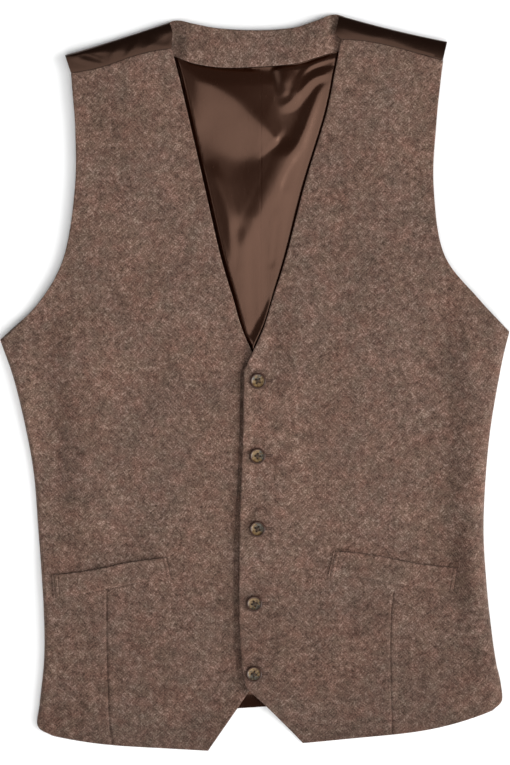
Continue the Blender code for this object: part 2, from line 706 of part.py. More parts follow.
def add_buttons(surface, color):
    """Five buttons on the left front's edge, each just clear of the cloth under it."""
    mesh = button_mesh()
    mesh.materials.append(cloth_material("button_finish", color, 0.3))
    for place in BUTTON_PLACES:
        around = [(place.x + BUTTON_PROFILE[0].radius * math.cos(math.radians(angle)),
                   place.y + BUTTON_PROFILE[0].radius * math.sin(math.radians(angle)))
                  for angle in range(0, 360, 45)]
        seat = max(height_on(surface, x, y) for x, y in around) + SEAM_GAP
        obj = bpy.data.objects.new(place.name, mesh)
        obj.location = Vector((place.x, place.y, seat)) * MM
        obj.rotation_euler.z = math.radians(place.turn)
        bpy.context.scene.collection.objects.link(obj)


def clear_scene():
    for obj in list(bpy.data.objects):
        bpy.data.objects.remove(obj, do_unlink=True)


def build():
    clear_scene()
    tweed, satin, horn = (0.19, 0.135, 0.105), (0.08, 0.045, 0.032), (0.16, 0.1, 0.055)
    right_front = front_wall(RIGHT_FRONT_ROWS, RIGHT_EDGE_CORNERS, RIGHT_SHOULDER, RIGHT_HEM)
    left_front = front_wall(LEFT_FRONT_ROWS, LEFT_EDGE_CORNERS, LEFT_SHOULDER, LEFT_HEM)
    add_wall("front_right", right_front, tweed, 0.9)
    add_wall("front_left", left_front, tweed, 0.9)
    add_wall("back_right", back_wall(RIGHT_BACK_ROWS, RIGHT_FRONT_ROWS, RIGHT_EDGE_CORNERS,
                                     RIGHT_SHOULDER), satin, 0.35)
    add_wall("back_left", back_wall(LEFT_BACK_ROWS, LEFT_FRONT_ROWS, LEFT_EDGE_CORNERS,
                                    LEFT_SHOULDER), satin, 0.35)
    add_wall("lining_right", lining_wall(RIGHT_LINING_ROWS, RIGHT_FRONT_ROWS), satin, 0.35)
    add_wall("lining_left", lining_wall(LEFT_LINING_ROWS, LEFT_FRONT_ROWS), satin, 0.35)
    add_wall("neck_band", band_wall(), tweed, 0.9)
    add_wall("welt_right", welt_wall(RIGHT_WELT, surface_of(right_front)), tweed, 0.9)
    left_surface = surface_of(left_front)
    add_wall("welt_left", welt_wall(LEFT_WELT, left_surface), tweed, 0.9)
    add_buttons(left_surface, horn)


build()
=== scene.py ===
"""Finish of a suit waistcoat that lies flat and buttoned, dressed over its solid model.

Shapes are worked out in millimetres and written to the meshes in metres. +Y points to the neck
and +Z up. Left and right are the wearer's, so the left front lies at +X and laps over the right.
"""

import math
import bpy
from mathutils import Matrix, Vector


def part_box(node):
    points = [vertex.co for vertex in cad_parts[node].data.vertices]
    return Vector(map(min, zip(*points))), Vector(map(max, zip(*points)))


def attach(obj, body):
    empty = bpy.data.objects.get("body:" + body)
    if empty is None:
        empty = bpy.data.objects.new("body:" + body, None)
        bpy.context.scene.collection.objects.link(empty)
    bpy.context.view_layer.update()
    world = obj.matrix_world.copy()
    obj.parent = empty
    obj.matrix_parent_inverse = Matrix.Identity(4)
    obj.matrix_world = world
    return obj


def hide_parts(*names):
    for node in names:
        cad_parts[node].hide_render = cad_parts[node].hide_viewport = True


bl_info = {
    "name": "Suit Waistcoat Finish",
    "version": (1, 0, 0),
    "blender": (4, 5, 0),
    "location": "3D View > Sidebar > Waistcoat",
    "description": "Dresses a flat suit waistcoat in tweed, satin and horn",
    "category": "Object",
}

from collections import namedtuple

import bmesh
import bpy
import numpy as np
from bpy.props import FloatProperty, FloatVectorProperty, PointerProperty
from mathutils import Matrix, Vector, noise
from mathutils.bvhtree import BVHTree

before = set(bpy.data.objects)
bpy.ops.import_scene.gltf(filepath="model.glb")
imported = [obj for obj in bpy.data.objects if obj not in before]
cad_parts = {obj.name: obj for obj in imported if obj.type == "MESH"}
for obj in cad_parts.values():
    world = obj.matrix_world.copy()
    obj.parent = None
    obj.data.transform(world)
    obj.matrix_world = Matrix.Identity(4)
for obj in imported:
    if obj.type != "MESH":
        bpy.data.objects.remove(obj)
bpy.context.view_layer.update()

MM = 0.001

# Walls and gaps, in millimetres
FRONT_WALL = 2.2
BACK_WALL = 1.2
LINING_WALL = 1.0
BAND_WALL = 1.8
WELT_WALL = 1.8
SEAM_GAP = 0.3
LINING_SEAM = 0.04          # the lining's halves all but touch at their centre seam
EDGE_ROUND = 1.5            # how far in from a free edge the cloth starts to turn down
EDGE_FALL = 0.9             # how much each face closes in at a free edge
SEAM_CLOSING = 0.5          # how much of that counts at a shoulder seam
UNDER_CLOSING = 0.3         # and on the underside of a band or a welt
WALL_SHARP_ANGLE = 58.0     # edges steeper than this are shaded sharp, in degrees

# A crease's crest is rounded over this part of its width, and its flanks curve by this power.
CREST_ROUND = 0.05
CREASE_POWER = 0.6
CREASE_POWER_RISE = 0.7     # how much the power grows with a crease's roundness

# Heights of the fronts
HEM_TIP_Z = FRONT_WALL + 0.4  # a front's point all but lies on the surface
HEM_DROP = (-6.0, 34.0)     # and sinks to it over this way past the back's hem
LAP_WIDTH = 36.0            # a front keeps its centre edge's height over this width
LAP_BLEND = 34.0            # and blends to its middle's height over this one
SIDE_START = 0.45           # part of a front's width where it starts to fall to its side
HEM_BOW_ROWS = 4.0          # rows over which the hem's curve dies out
SEAM_BOW_ROWS = 1.5         # and the shoulder seam's
ARMHOLE_TURN = 0.6          # rows over which the rounded side turns into a cut edge
FRONT_RIPPLE = 0.22         # unevenness of the pressed cloth
FRONT_RIPPLE_SIZE = 46.0
LOWEST_FRONT = 4.85         # the fronts' outer face stays clear of the lining
LOWEST_UNDERSIDE = 0.05     # their inner face stays above the surface that they lie on

# The lapped edge stands up a little, between its hem and its top and more above the waist.
LAP_EDGE_LIFT = 2.2
LAP_LIFT_WIDTH = 14.0       # how far in from the edge the lift reaches
LAP_LIFT_HEM = (-310.0, -280.0)
LAP_LIFT_TOP = (60.0, 20.0)
LAP_LIFT_WAIST = (-190.0, -110.0)
LAP_LIFT_LOW = 0.45         # part of the lift below the waist
# The under front sinks beside the lapped edge, over a reach that widens towards the hip.
LAP_GROOVE = 3.2
LAP_GROOVE_HEM = (-312.0, -290.0)
LAP_GROOVE_TOP = (34.0, 12.0)
LAP_GROOVE_REACH = (3.4, 7.0)
LAP_GROOVE_HIP = (-60.0, -230.0)
LAP_GROOVE_START = (-1.0, -0.5)  # in reaches before the edge

# Back, lining and shoulder folds
CENTRE_SEAM_X = 5.9
BACK_CORNER = 7             # row where a back half's inner edge turns from the seam to the neck
BACK_INSET = 3.6            # how far the back stays inside a front's side edge
LINING_INSET = 5.0
FOLD_RADIUS = 4.6           # the back turns forward on this radius at a shoulder
SEAM_DIP = 0.4              # how far the back's strip falls to the shoulder seam, on a curve
STRIP_SLOPE = 0.2           # and how far it falls evenly
LINING_BASE = 1.5           # how high the lining stands in the V before its folds
LINING_EDGE_LIMIT = 3.8     # how high it may stand beside a V edge
LINING_MID_LIMIT = 8.8      # and away from the edges
LINING_TIP_LIMIT = 1.0      # how much higher it may stand at the V tip
LINING_RIPPLE = 0.2
LINING_RIPPLE_SIZE = 21.0
FOLD_BLEND = 0.5            # how softly one fold runs into the next
LIMIT_BLEND = 0.6           # how softly the folds meet their limit
V_DIP = (-0.5, 4.5)         # the lining sinks to the right front's edge, inside the V
V_LEFT_DIP = (-3.0, 2.6)    # it sinks to the left front's edge, half of it under that front
V_SWELL = (2.0, 24.0)       # its limit rises from a V edge inwards
V_TIP = (50.0, 70.0)        # Y where the V tip's higher limit ends
V_BOTTOM_FADE = (24.0, 32.0)  # Y below which the lining lies flat under the fronts

# Neck band
BAND_TOP_ENDS = (-85.0, 86.0)
BAND_BOTTOM_ENDS = (-84.0, 88.0)
BAND_DEPTH = 36.0
BAND_LIFT = (6.8, 3.0)      # how high its lower and its upper edge stand
BAND_LIFT_POWER = 1.3       # more than 1 keeps it high near its lower edge
BAND_FALL = (8.0, 22.0)     # where it falls to the shoulders
BAND_CLOSING = 0.8          # its edges turn down by this part of a free edge's fall
BAND_CROWN = 0.35           # how far its middle swells
BAND_RIPPLE = 0.15
BAND_RIPPLE_SIZE = 22.0

# Welts
WELT_LENGTH = 112.0
WELT_DEPTH = 22.0
WELT_SWAY = -1.2            # how far its edges wave from a straight line
WELT_SINK = 1.1             # how far its foot sinks into the front
WELT_SINK_WIDTH = 5.0
WELT_LIFT = 0.5             # how far its top edge stands off between its ends
WELT_LIFT_TOP = (4.0, 0.0)
WELT_LIFT_END = (2.0, 12.0)
WELT_UNDER_LIFT = 0.6       # part of that lift on its underside
WELT_FOOT_START = (0.1, 0.4)  # parts of its length where the foot's sewn line sets in
WELT_FOOT_END = (0.95, 0.7)
WELT_STITCHES = 7
WELT_STITCH_START = 0.06    # parts of its depth, up from its foot
WELT_STITCH_PITCH = 0.13
WELT_STITCH_LENGTH = 0.085

# Buttons, their thread and their buttonholes
BUTTON_RADIUS = 7.7
BUTTON_FLOOR_Z = 1.85       # height of the dished face over the button's back
BUTTON_SHARP_ANGLE = 50.0
HOLE_RADIUS = 1.0
HOLE_OFFSET = 1.6           # of each thread hole from the middle, along X and along Y
HOLE_PIN_LENGTH = 12.0
THREAD_RADIUS = 0.2
THREAD_SPREAD = 0.22        # half the distance between the two strands
THREAD_FOOT_Z = -0.25       # it goes down into the cloth
THREAD_LIFT = 0.25          # how high it leaves a hole, over the dished face
THREAD_ARCH = 0.42          # and how much higher it runs between the holes
THREAD_OVER = 0.1           # how much higher the second pair of strands crosses
THREAD_PARTS = (0.08, 0.25, 0.5, 0.75, 0.92)  # its points on the way across
BUTTONHOLE_ENDS = (-3.0, 13.2)  # along X, from the button's middle
BUTTONHOLE_PITCH = 0.62
BUTTONHOLE_REACH = 1.55     # of a stitch, to each side of the slit
BUTTONHOLE_UNEVEN = 0.12
BUTTONHOLE_THREAD = 0.26
BUTTONHOLE_BARS = (0.0, 0.5, 1.0)
BUTTONHOLE_BAR_REACH = 1.7
TUBE_END = 0.55             # a thread's ends are this much thinner
STEEP = 0.9                 # a thread steeper than this takes any direction beside it
ABOVE_ALL = 50.0            # rays that look for a surface start this high
UP = Vector((0.0, 0.0, 1.0))

# Fineness of the shells
FRONT_SPACING = 2.5
LAYER_SPACING = 3.0
LINING_SPACING = 1.8
LAYER_COLUMNS = 96
LINING_SPREAD = 1.35        # more than 1 crowds the lining's columns at its inner edge
FOLD_STEPS = 24
STRIP_STEPS = 18
ROLL_STEPS = 10
BAND_COLUMNS = 120
BAND_ROWS = 16
WELT_COLUMNS = 96
WELT_ROWS = 12
BUTTON_SEGMENTS = 72
PROFILE_STEPS = 3
HOLE_SEGMENTS = 20
EDGE_STEPS = (0.0, 0.2, 0.5, 1.0, 1.6, 2.4)
WELT_ROW_STEPS = (4.2, 4.7, 5.2, 5.7, 6.2)
LAP_STEPS = (-0.6, 0.2, 0.9, 1.5, 2.0, 2.5, 3.1, 3.8, 4.7, 6.0)
LAP_RANGE = (8.0, 40.0)     # the lap's columns stay this far from the centre edge
GROOVE_STEPS = (-3.4, -2.0, -1.1, -0.5, 0.0, 0.5, 1.1, 2.0, 3.4)

# Stage, in metres
FLOOR_Z = -0.0003
FLOOR_HALF = 9.0
FRAME_LENGTH = 0.72675      # the view's longer side, at the height of the fronts
FRAME_Z = 0.008
CAMERA_CENTRE = (0.00024, 0.00024)

# Tints that multiply the main colours, and colours of the threads
GREY_CLOUD = (0.95, 1.0, 0.985, 1.0)
RED_CLOUD = (1.035, 0.965, 0.965, 1.0)
BROAD_CLOUD = (1.03, 0.985, 0.96, 1.0)
# Painted shade: the tweed is darkened towards the hem, where less light falls.
HEM_PAINTED_SHADE = ((-120.0, -300.0, 0.13), (-292.0, -340.0, 0.17))  # from Y, to Y, how much darker
HORN_DUSK = (0.36, 0.28, 0.18, 1.0)
# Painted shade in the dished middle of a button, round its thread holes.
HORN_CENTRE_SHADE = (0.36, 0.24, 0.14, 1.0)
BACK_SHINE = 0.53
LINING_SHINE = 1.04
WELT_THREAD_COLOR = (0.085, 0.05, 0.036)
BUTTON_THREAD_COLOR = (0.045, 0.024, 0.012)
BUTTONHOLE_THREAD_COLOR = (0.1, 0.05, 0.033)

FrontRow = namedtuple("FrontRow", "station edge_x edge_y side_x side_y edge_z mid_z side_z")
BackRow = namedtuple("BackRow", "station inner_x inner_y front_row")
NeckRow = namedtuple("NeckRow", "x top_y bottom_y")
Shoulder = namedtuple("Shoulder", "neck_x neck_y tip_x tip_y bow seam_bow seam_sway falls")
HemCurve = namedtuple("HemCurve", "bow sway")
Crease = namedtuple("Crease", "name path height left_width right_width roundness fade",
                    defaults=((0.2, 0.2),))
FrontShape = namedtuple("FrontShape", "side rows corners shoulder hem dart creases side_roll")
Welt = namedtuple("Welt", "corner x y")
ButtonPlace = namedtuple("ButtonPlace", "name x y turn amber_angle shade")
Profile = namedtuple("Profile", "radius z")
SewnLine = namedtuple("SewnLine", "depth place width")

# Each row is one section across a front, from its centre edge to its side edge.
RIGHT_FRONT_ROWS = (
    FrontRow("point", -44.4, -350.2, -193.4, -335.6, 6, 6, 6),
    FrontRow("hem corner", -40.8, -345, -206.6, -326.6, 6, 6.2, 6),
    FrontRow("seat", -24.5, -321.3, -204.6, -304, 6.2, 6.6, 6.2),
    FrontRow("cut-away top", 10.7, -270, -200.4, -262, 6.4, 7, 6.4),
    FrontRow("hip", 15.4, -206.4, -201, -213, 6.6, 7.4, 6.6),
    FrontRow("waist", 15.9, -140, -205.8, -142, 6.6, 7.6, 6.8),
    FrontRow("ribs", 15.4, -73.4, -211.6, -77, 6.8, 8, 7),
    FrontRow("V bottom", 14.5, -3, -227.2, -4, 7, 8.4, 7.2),
    FrontRow("underarm", -9.6, 45, -242.3, 40.8, 7.2, 8.8, 7),
    FrontRow("low armhole", -21, 81.5, -206, 75.5, 8.4, 9, 6.8),
    FrontRow("chest", -33, 122.3, -181.6, 119.5, 9, 9.2, 7),
    FrontRow("high chest", -48.7, 190.7, -171, 185, 9, 9.2, 7.4),
    FrontRow("high armhole", -63.6, 255.3, -170.6, 240, 9, 9.2, 8),
    FrontRow("collarbone", -73.3, 296, -173.2, 276, 9, 9.2, 8.6),
    FrontRow("shoulder seam", -79.2, 317.3, -174.6, 294.3, 9, 9, 8.8),
)
LEFT_FRONT_ROWS = (
    FrontRow("point", 45.8, -342.9, 226.6, -311.8, 6, 6, 6),
    FrontRow("hem corner", 39.8, -336.6, 235.2, -302.8, 6.3, 6.2, 6),
    FrontRow("seat", 11.8, -308.4, 234.5, -288, 8, 6.6, 6.2),
    FrontRow("cut-away top", -4.6, -293, 232.1, -276, 9.2, 7, 6.4),
    FrontRow("lap end", -9.6, -283.8, 230.3, -269, 9.3, 7.2, 6.5),
    FrontRow("low hip", -14, -248, 226.5, -244.4, 9.4, 7.4, 6.6),
    FrontRow("hip", -14.8, -187.4, 220.7, -192, 9.5, 7.5, 6.7),
    FrontRow("waist", -14.2, -130.4, 217.9, -131, 9.6, 7.7, 6.8),
    FrontRow("ribs", -11.4, -54.4, 223.1, -54, 9.8, 8.1, 7),
    FrontRow("V bottom", -10.3, 11.6, 234.3, 14, 10, 8.5, 7.2),
    FrontRow("underarm", 7.5, 50.1, 242.4, 48.6, 9.8, 8.8, 7),
    FrontRow("low armhole", 17.6, 81.5, 212.3, 80.5, 9.3, 9, 6.8),
    FrontRow("chest", 30.4, 122.3, 179.7, 123, 9, 9.2, 7),
    FrontRow("high chest", 48.1, 190.7, 170, 188, 9, 9.2, 7.4),
    FrontRow("high armhole", 67.8, 255.3, 172.5, 245, 9, 9.2, 8),
    FrontRow("collarbone", 76.8, 299, 176.3, 284, 9, 9.2, 8.6),
    FrontRow("shoulder seam", 82.1, 326.2, 179, 305.7, 9, 9, 8.8),
)
# A shoulder's falls are the fold's depth at even steps from its neck end to its tip.
RIGHT_SHOULDER = Shoulder(-81, 342.7, -180.3, 311.6, -0.8, 0.2, 1.8, (9.8, 15, 12.6, 6, 2))
LEFT_SHOULDER = Shoulder(80.5, 349.2, 182.9, 324.2, -1.2, 3.2, 0.6, (18, 13.4, 10.8, 14.8, 17.2))
# Lines of the darts, from the chest down to the hem
RIGHT_DART = ((-140, 330), (-140.8, -201.6), (-140.8, -242.5), (-139.8, -281.5), (-138.3, -321.3),
              (-134.7, -345))
LEFT_DART = ((134, 330), (132.3, -194), (129.8, -217.8), (128.9, -242.5), (129.2, -283.3), (130, -315.6),
             (129.4, -340))
DART_TOP = (-192.0, -202.0)  # the sewn line shows from here down
RIGHT_BACK_ROWS = (
    BackRow("hem", CENTRE_SEAM_X, -308.4, 1.25),
    BackRow("hip", CENTRE_SEAM_X, -206, 4),
    BackRow("ribs", CENTRE_SEAM_X, -50, 6.5),
    BackRow("underarm", CENTRE_SEAM_X, 45, 8),
    BackRow("low armhole", CENTRE_SEAM_X, 110, 9),
    BackRow("shoulder blade", CENTRE_SEAM_X, 170, 10),
    BackRow("high back", CENTRE_SEAM_X, 250, 11.3),
    BackRow("neck centre", CENTRE_SEAM_X, 334.4, 12.4),
    BackRow("neck", -38, 336.8, 13),
    BackRow("neck corner", -74, 343.2, 13.3),
)
LEFT_BACK_ROWS = (
    BackRow("hem", CENTRE_SEAM_X, -308.4, 1.25),
    BackRow("hip", CENTRE_SEAM_X, -206, 6),
    BackRow("ribs", CENTRE_SEAM_X, -50, 8),
    BackRow("underarm", CENTRE_SEAM_X, 50, 10),
    BackRow("low armhole", CENTRE_SEAM_X, 115, 11),
    BackRow("shoulder blade", CENTRE_SEAM_X, 175, 12),
    BackRow("high back", CENTRE_SEAM_X, 255, 13.3),
    BackRow("neck centre", CENTRE_SEAM_X, 334.4, 14.4),
    BackRow("neck", 40, 337.6, 15),
    BackRow("neck corner", 75, 348.6, 15.3),
)
# The lining's inner edge runs up the centre seam and then along the band's lower edge.
RIGHT_LINING_ROWS = (
    BackRow("hem", CENTRE_SEAM_X, -307.7, 1.35),
    BackRow("hip", CENTRE_SEAM_X, -206, 4),
    BackRow("ribs", CENTRE_SEAM_X, -50, 6.5),
    BackRow("underarm", CENTRE_SEAM_X, 30, 8),
    BackRow("low armhole", CENTRE_SEAM_X, 80, 9),
    BackRow("shoulder blade", CENTRE_SEAM_X, 125, 10),
    BackRow("high back", CENTRE_SEAM_X, 190, 11),
    BackRow("band centre", CENTRE_SEAM_X, None, 12.4),
    BackRow("band", -38, None, 13),
    BackRow("band end", -82, None, 13.7),
)
LEFT_LINING_ROWS = (
    BackRow("hem", CENTRE_SEAM_X, -307.7, 1.35),
    BackRow("hip", CENTRE_SEAM_X, -206, 6),
    BackRow("ribs", CENTRE_SEAM_X, -50, 8),
    BackRow("underarm", CENTRE_SEAM_X, 30, 10),
    BackRow("low armhole", CENTRE_SEAM_X, 80, 11),
    BackRow("shoulder blade", CENTRE_SEAM_X, 125, 12),
    BackRow("high back", CENTRE_SEAM_X, 190, 13),
    BackRow("band centre", CENTRE_SEAM_X, None, 14.4),
    BackRow("band", 40, None, 15),
    BackRow("band end", 86, None, 15.7),
)
NECK_ROWS = (
    NeckRow(-88, 340, 312.5),
    NeckRow(-74.8, 344.6, 309.6),
    NeckRow(-60, 341.7, 303.8),
    NeckRow(-40, 337.7, 300.2),
    NeckRow(-20, 335.8, 299.2),
    NeckRow(0, 335.2, 300.1),
    NeckRow(20, 335.8, 301.2),
    NeckRow(40, 338.2, 303.6),
    NeckRow(58, 344.2, 308.8),
    NeckRow(75.8, 350.3, 314.3),
    NeckRow(90, 346.4, 317.5),
)

# Soft troughs and ridges. A width is how far a crease reaches to the left or the right of its
# path, and its roundness goes from 1, a sharp crest with straight sides, to 2, a soft swell.
# It fades at its two ends over parts of its length.
RIGHT_FRONT_CREASES = (
    Crease("side fall", ((-206, 96), (-204, 50), (-200, 0), (-194, -80), (-190, -190)), -3, 32, 21, 1.9),
    Crease("chest side swell", ((-166, 80), (-168, 30), (-166, -40), (-163, -110), (-162, -180)), 3, 40,
           30, 2),
    Crease("chest hollow", ((-100, 70), (-120, -70)), -0.8, 34, 34, 2),
    Crease("low dent", ((-50, -160), (-44, -215)), -1, 22, 22, 2),
    Crease("lap swell", ((-36, 20), (-32, -60), (-38, -130)), 0.9, 18, 26, 2),
    Crease("hem dent", ((-196, -300), (-188, -322)), -0.7, 16, 16, 2),
    Crease("hem dent by the dart", ((-150, -316), (-146, -340)), -0.5, 14, 14, 2),
    Crease("hem dent by the point", ((-54, -318), (-46, -344)), -0.5, 12, 12, 2),
)
LEFT_FRONT_CREASES = (
    Crease("side trough", ((172, 110), (176, 50), (180, -10), (182, -70), (178, -120), (182, -160),
           (194, -215)), -2.2, 24, 50, 1.9),
    Crease("side ridge", ((204, 70), (208, 20), (209, -50), (206, -90), (204, -130)), 3, 14, 28, 1.9),
    Crease("chest hollow", ((118, 100), (146, -50)), -0.4, 34, 34, 2),
    Crease("lap swell", ((40, 20), (36, -60), (34, -130)), 0.7, 18, 26, 2),
    Crease("button pull", ((16, 76), (20, 34), (24, -10)), -1.6, 10, 22, 1.8),
    Crease("sag under the welt", ((88, -186), (100, -244)), -1.7, 24, 18, 2),
    Crease("pull above the welt", ((71, -168), (69, -210), (70, -250)), 0.35, 7, 9, 1.8),
    Crease("fall beside the dart", ((136, -214), (137, -345)), -2.4, 76, 7, 1.2),
    Crease("hip ridge", ((203, -80), (204, -120), (207, -160), (210, -197), (216, -240), (223, -272)), 3.9,
           13, 25, 1.5, (0.2, 0.4)),
    Crease("hip rim", ((205, -130), (211, -200), (216, -240), (221, -268), (226, -300)), 2.4, 12, 70, 1.2,
           (0.3, 0.15)),
    Crease("hip trough", ((182, -130), (186, -165), (189, -200), (194, -238)), -2.2, 14, 38, 1.7,
           (0.2, 0.4)),
)
RIGHT_FRONT = FrontShape("right", RIGHT_FRONT_ROWS, (3, 7), RIGHT_SHOULDER, HemCurve(3.2, 0.8), RIGHT_DART,
                         RIGHT_FRONT_CREASES, 3.6)
LEFT_FRONT = FrontShape("left", LEFT_FRONT_ROWS, (9,), LEFT_SHOULDER, HemCurve(7, 1.7), LEFT_DART,
                        LEFT_FRONT_CREASES, 13)

# Folds of the lining where it lies loose inside the V; the highest of them counts at a point.
LINING_FOLDS = (
    Crease("bulge crest", ((-150, 326), (-110, 314), (-72, 300), (-46, 286), (-22, 271), (-4, 253),
           (12, 238), (24, 227), (34, 218)), 8, 42, 62, 1, (0.7, 0.1)),
    Crease("rise below the bulge", ((-120, 100), (-60, 131), (-20, 155), (16, 164), (50, 168)), 6.2, 96,
           90, 1.1, (0.75, 0.2)),
    Crease("long diagonal ridge", ((88, 326), (74, 292), (62, 262), (50, 240), (35, 221), (25, 202),
           (15, 180), (5, 160), (-4, 142), (-11, 112), (-10, 80), (-8, 46)), 7.4, 38, 60, 1.4, (0.2, 0.5)),
)
# Smaller ridges and troughs, added to the folds
LINING_CREASES = (
    Crease("crest line", ((52, 242), (35, 221), (25, 202), (15, 180), (5, 160), (-5, 140), (-12, 112)),
           0.9, 10, 13, 1.3),
    Crease("band trough", ((-98, 312), (-78, 309), (-46, 301), (-20, 299), (6, 300), (40, 303)), -2, 14,
           16, 1.3),
    Crease("neck bulge", ((20, 334), (25, 306), (30, 285), (34, 263)), 2.2, 13, 12, 2),
    Crease("neck ridge", ((20, 262), (34, 266), (43, 276), (54, 288), (68, 293), (92, 293)), 2, 8, 8, 1.4),
    Crease("neck tuck", ((34, 272), (44, 290), (56, 303), (82, 313)), 0.7, 5, 5, 1.4),
    Crease("fall at the band", ((-18, 300), (34, 302), (58, 308), (92, 318)), -0.9, 4, 5, 1.2),
    Crease("hollow under the neck ridge", ((82, 306), (62, 286), (48, 268), (40, 250), (34, 234),
           (30, 212)), -3, 16, 28, 1.5),
    Crease("strip smudge", ((58, 236), (46, 218), (34, 201), (24, 178)), -0.8, 12, 8, 1.5),
    Crease("left low ridge", ((-46, 212), (-34, 184), (-29, 158), (-28, 130), (-31, 100)), 1.2, 12, 9,
           1.6),
    Crease("low smudge", ((0, 158), (9, 133), (14, 106)), -0.4, 6, 6, 1.6),
    Crease("second low smudge", ((22, 160), (19.5, 133), (16, 106)), -0.4, 5, 4, 1.6),
    Crease("low centre ridge", ((-10, 150), (-10, 110), (-8, 70), (-5, 36)), 0.8, 7, 18, 1.4),
    Crease("low right line", ((4, 142), (8, 122), (10.5, 96), (10.5, 70), (8, 50)), -0.6, 12, 7, 1.5),
    Crease("rise at the V tip", ((28, 82), (16, 58), (9, 45), (2, 33), (-10, 12)), 3.5, 8, 12, 1),
)
HEM_CURL = Crease("curl at the hem notch", ((-19, -309), (6, -310), (44, -311)), 3.4, 13, 6, 1.1)
# Small pulls of the satin between a shoulder fold and its seam
STRIP_CREASES = (
    Crease("right tip pull", ((-176, 312), (-160, 306), (-140, 302)), 0.5, 8, 5, 1.5),
    Crease("right tip tuck", ((-168, 312), (-154, 308), (-140, 302)), -0.2, 3, 4.5, 1.7),
    Crease("right first tuck", ((-132, 330), (-139, 316), (-146, 302)), -0.25, 7, 10, 1.8),
    Crease("right second tuck", ((-114, 334), (-122, 318), (-134, 298)), -0.35, 5, 9, 1.7),
    Crease("right third tuck", ((-99, 338), (-105, 325), (-112, 310)), -0.2, 6, 7, 1.8),
    Crease("right neck pull", ((-110, 334), (-95, 327), (-78, 326)), -0.35, 8, 7, 1.8),
    Crease("left neck pull", ((76, 342), (98, 333), (124, 325)), 0.4, 9, 6, 1.7),
    Crease("left middle tuck", ((114, 348), (128, 328), (136, 310)), -0.3, 8, 9, 1.8),
    Crease("left tip tuck", ((148, 340), (158, 320), (164, 302)), -0.3, 8, 8, 1.8),
)

# How deep a sewn line draws the cloth in, how far from its edge or its seam, and how widely
DART_LINE = SewnLine(1.05, 0, 0.9)
DART_SWELL = SewnLine(0.28, 3.6, 2.6)
STRIP_SEAM_LINE = SewnLine(0.3, 0, 1.6)
LINING_SEAM_LINE = SewnLine(0.05, 0, 0.8)
WELT_END_LINE = SewnLine(1.4, 1.3, 0.8)
WELT_ROW_LINE = SewnLine(0.5, 5.2, 0.6)
WELT_FOOT_LINE = SewnLine(0.9, 1.4, 0.7)

RIGHT_WELT = (
    Welt("top outer", -192.6, -182.3),
    Welt("top inner", -82.6, -166.1),
    Welt("bottom inner", -77.8, -187.4),
    Welt("bottom outer", -190.9, -204.8),
)
LEFT_WELT = (
    Welt("top outer", 193.8, -175.8),
    Welt("top inner", 75.1, -159.8),
    Welt("bottom inner", 69.8, -183.8),
    Welt("bottom outer", 190.4, -198.6),
)

BUTTON_PLACES = (
    ButtonPlace("button_1", 3.1, 1.7, 8, 300, 0.05),
    ButtonPlace("button_2", 2.7, -69.6, 40, 185, 0),
    ButtonPlace("button_3", 2.6, -138.9, 20, 215, -0.3),
    ButtonPlace("button_4", -0.4, -209.8, 62, 120, -0.2),
    ButtonPlace("button_5", -0.7, -276.7, 35, 80, -0.15),
)
BUTTON_PROFILE = (
    Profile(5.4, 0), Profile(6.9, 0.5), Profile(7.5, 1.2), Profile(7.7, 1.9), Profile(7.55, 2.6),
    Profile(7.1, 3.05), Profile(6.5, 3.2), Profile(5.9, 2.95), Profile(5.3, 2.45),
    Profile(4.5, 2.1), Profile(3.3, 1.92), Profile(0.4, 1.85),
)


def colour(name, description, default):
    """A colour property of a finish."""
    return FloatVectorProperty(name=name, description=description, subtype="COLOR",
                               default=default, min=0.0, max=1.0)


class WaistcoatTweed(bpy.types.PropertyGroup):
    """Colours and weave of the fronts, the welts and the neck band"""
    body: colour("Body", "Main colour of the yarn", (0.116, 0.0705, 0.053))
    pale: colour("Pale fleck", "Colour of the pale flecks", (0.25, 0.174, 0.142))
    dark: colour("Dark fleck", "Colour of the dark flecks", (0.044, 0.025, 0.018))
    twill_pitch: FloatProperty(
        name="Twill pitch", description="Distance between two twill lines",
        default=0.0027, min=0.001, max=0.01, unit="LENGTH")
    cloud_size: FloatProperty(
        name="Cloud size", description="Size of the grey and reddish patches",
        default=0.013, min=0.004, max=0.1, unit="LENGTH")


class WaistcoatSatin(bpy.types.PropertyGroup):
    """Colours of the back and of the lining"""
    back: colour("Back", "Colour of the back satin", (0.0045, 0.0017, 0.001))
    lining: colour("Lining", "Colour of the lining satin", (0.0085, 0.0018, 0.0004))
    gloss: colour("Gloss", "Tint of the satin's shine", (1.0, 0.58, 0.42))
    roughness: FloatProperty(
        name="Roughness", description="Softness of the satin's shine",
        default=0.25, min=0.0, max=1.0, subtype="FACTOR")


class WaistcoatHorn(bpy.types.PropertyGroup):
    """Colours of the buttons"""
    amber: colour("Amber", "Warm side of a button", (0.2, 0.13, 0.062))
    grey: colour("Grey", "Grey-green side of a button", (0.095, 0.088, 0.072))
    rim: colour("Rim", "Dark outer rim", (0.04, 0.017, 0.01))


class WaistcoatStage(bpy.types.PropertyGroup):
    """Floor, light and camera"""
    floor: colour("Floor", "Colour of the floor", (0.94, 0.94, 0.94))
    key_power: FloatProperty(
        name="Key light", description="Strength of the broad light from the hem",
        default=3.35, min=0.0, max=50.0)
    side_power: FloatProperty(
        name="Side light", description="Strength of the low light from the right",
        default=3.1, min=0.0, max=50.0)
    fill_power: FloatProperty(
        name="Fill light", description="Strength of the low light from the left",
        default=0.6, min=0.0, max=50.0)
    ambient: FloatProperty(
        name="Ambient", description="Strength of the light from all round", default=0.1,
        min=0.0, max=5.0)
    lens: FloatProperty(
        name="Lens", description="Focal length of the camera", default=200.0, min=20.0,
        unit="CAMERA")


# Curves and heights

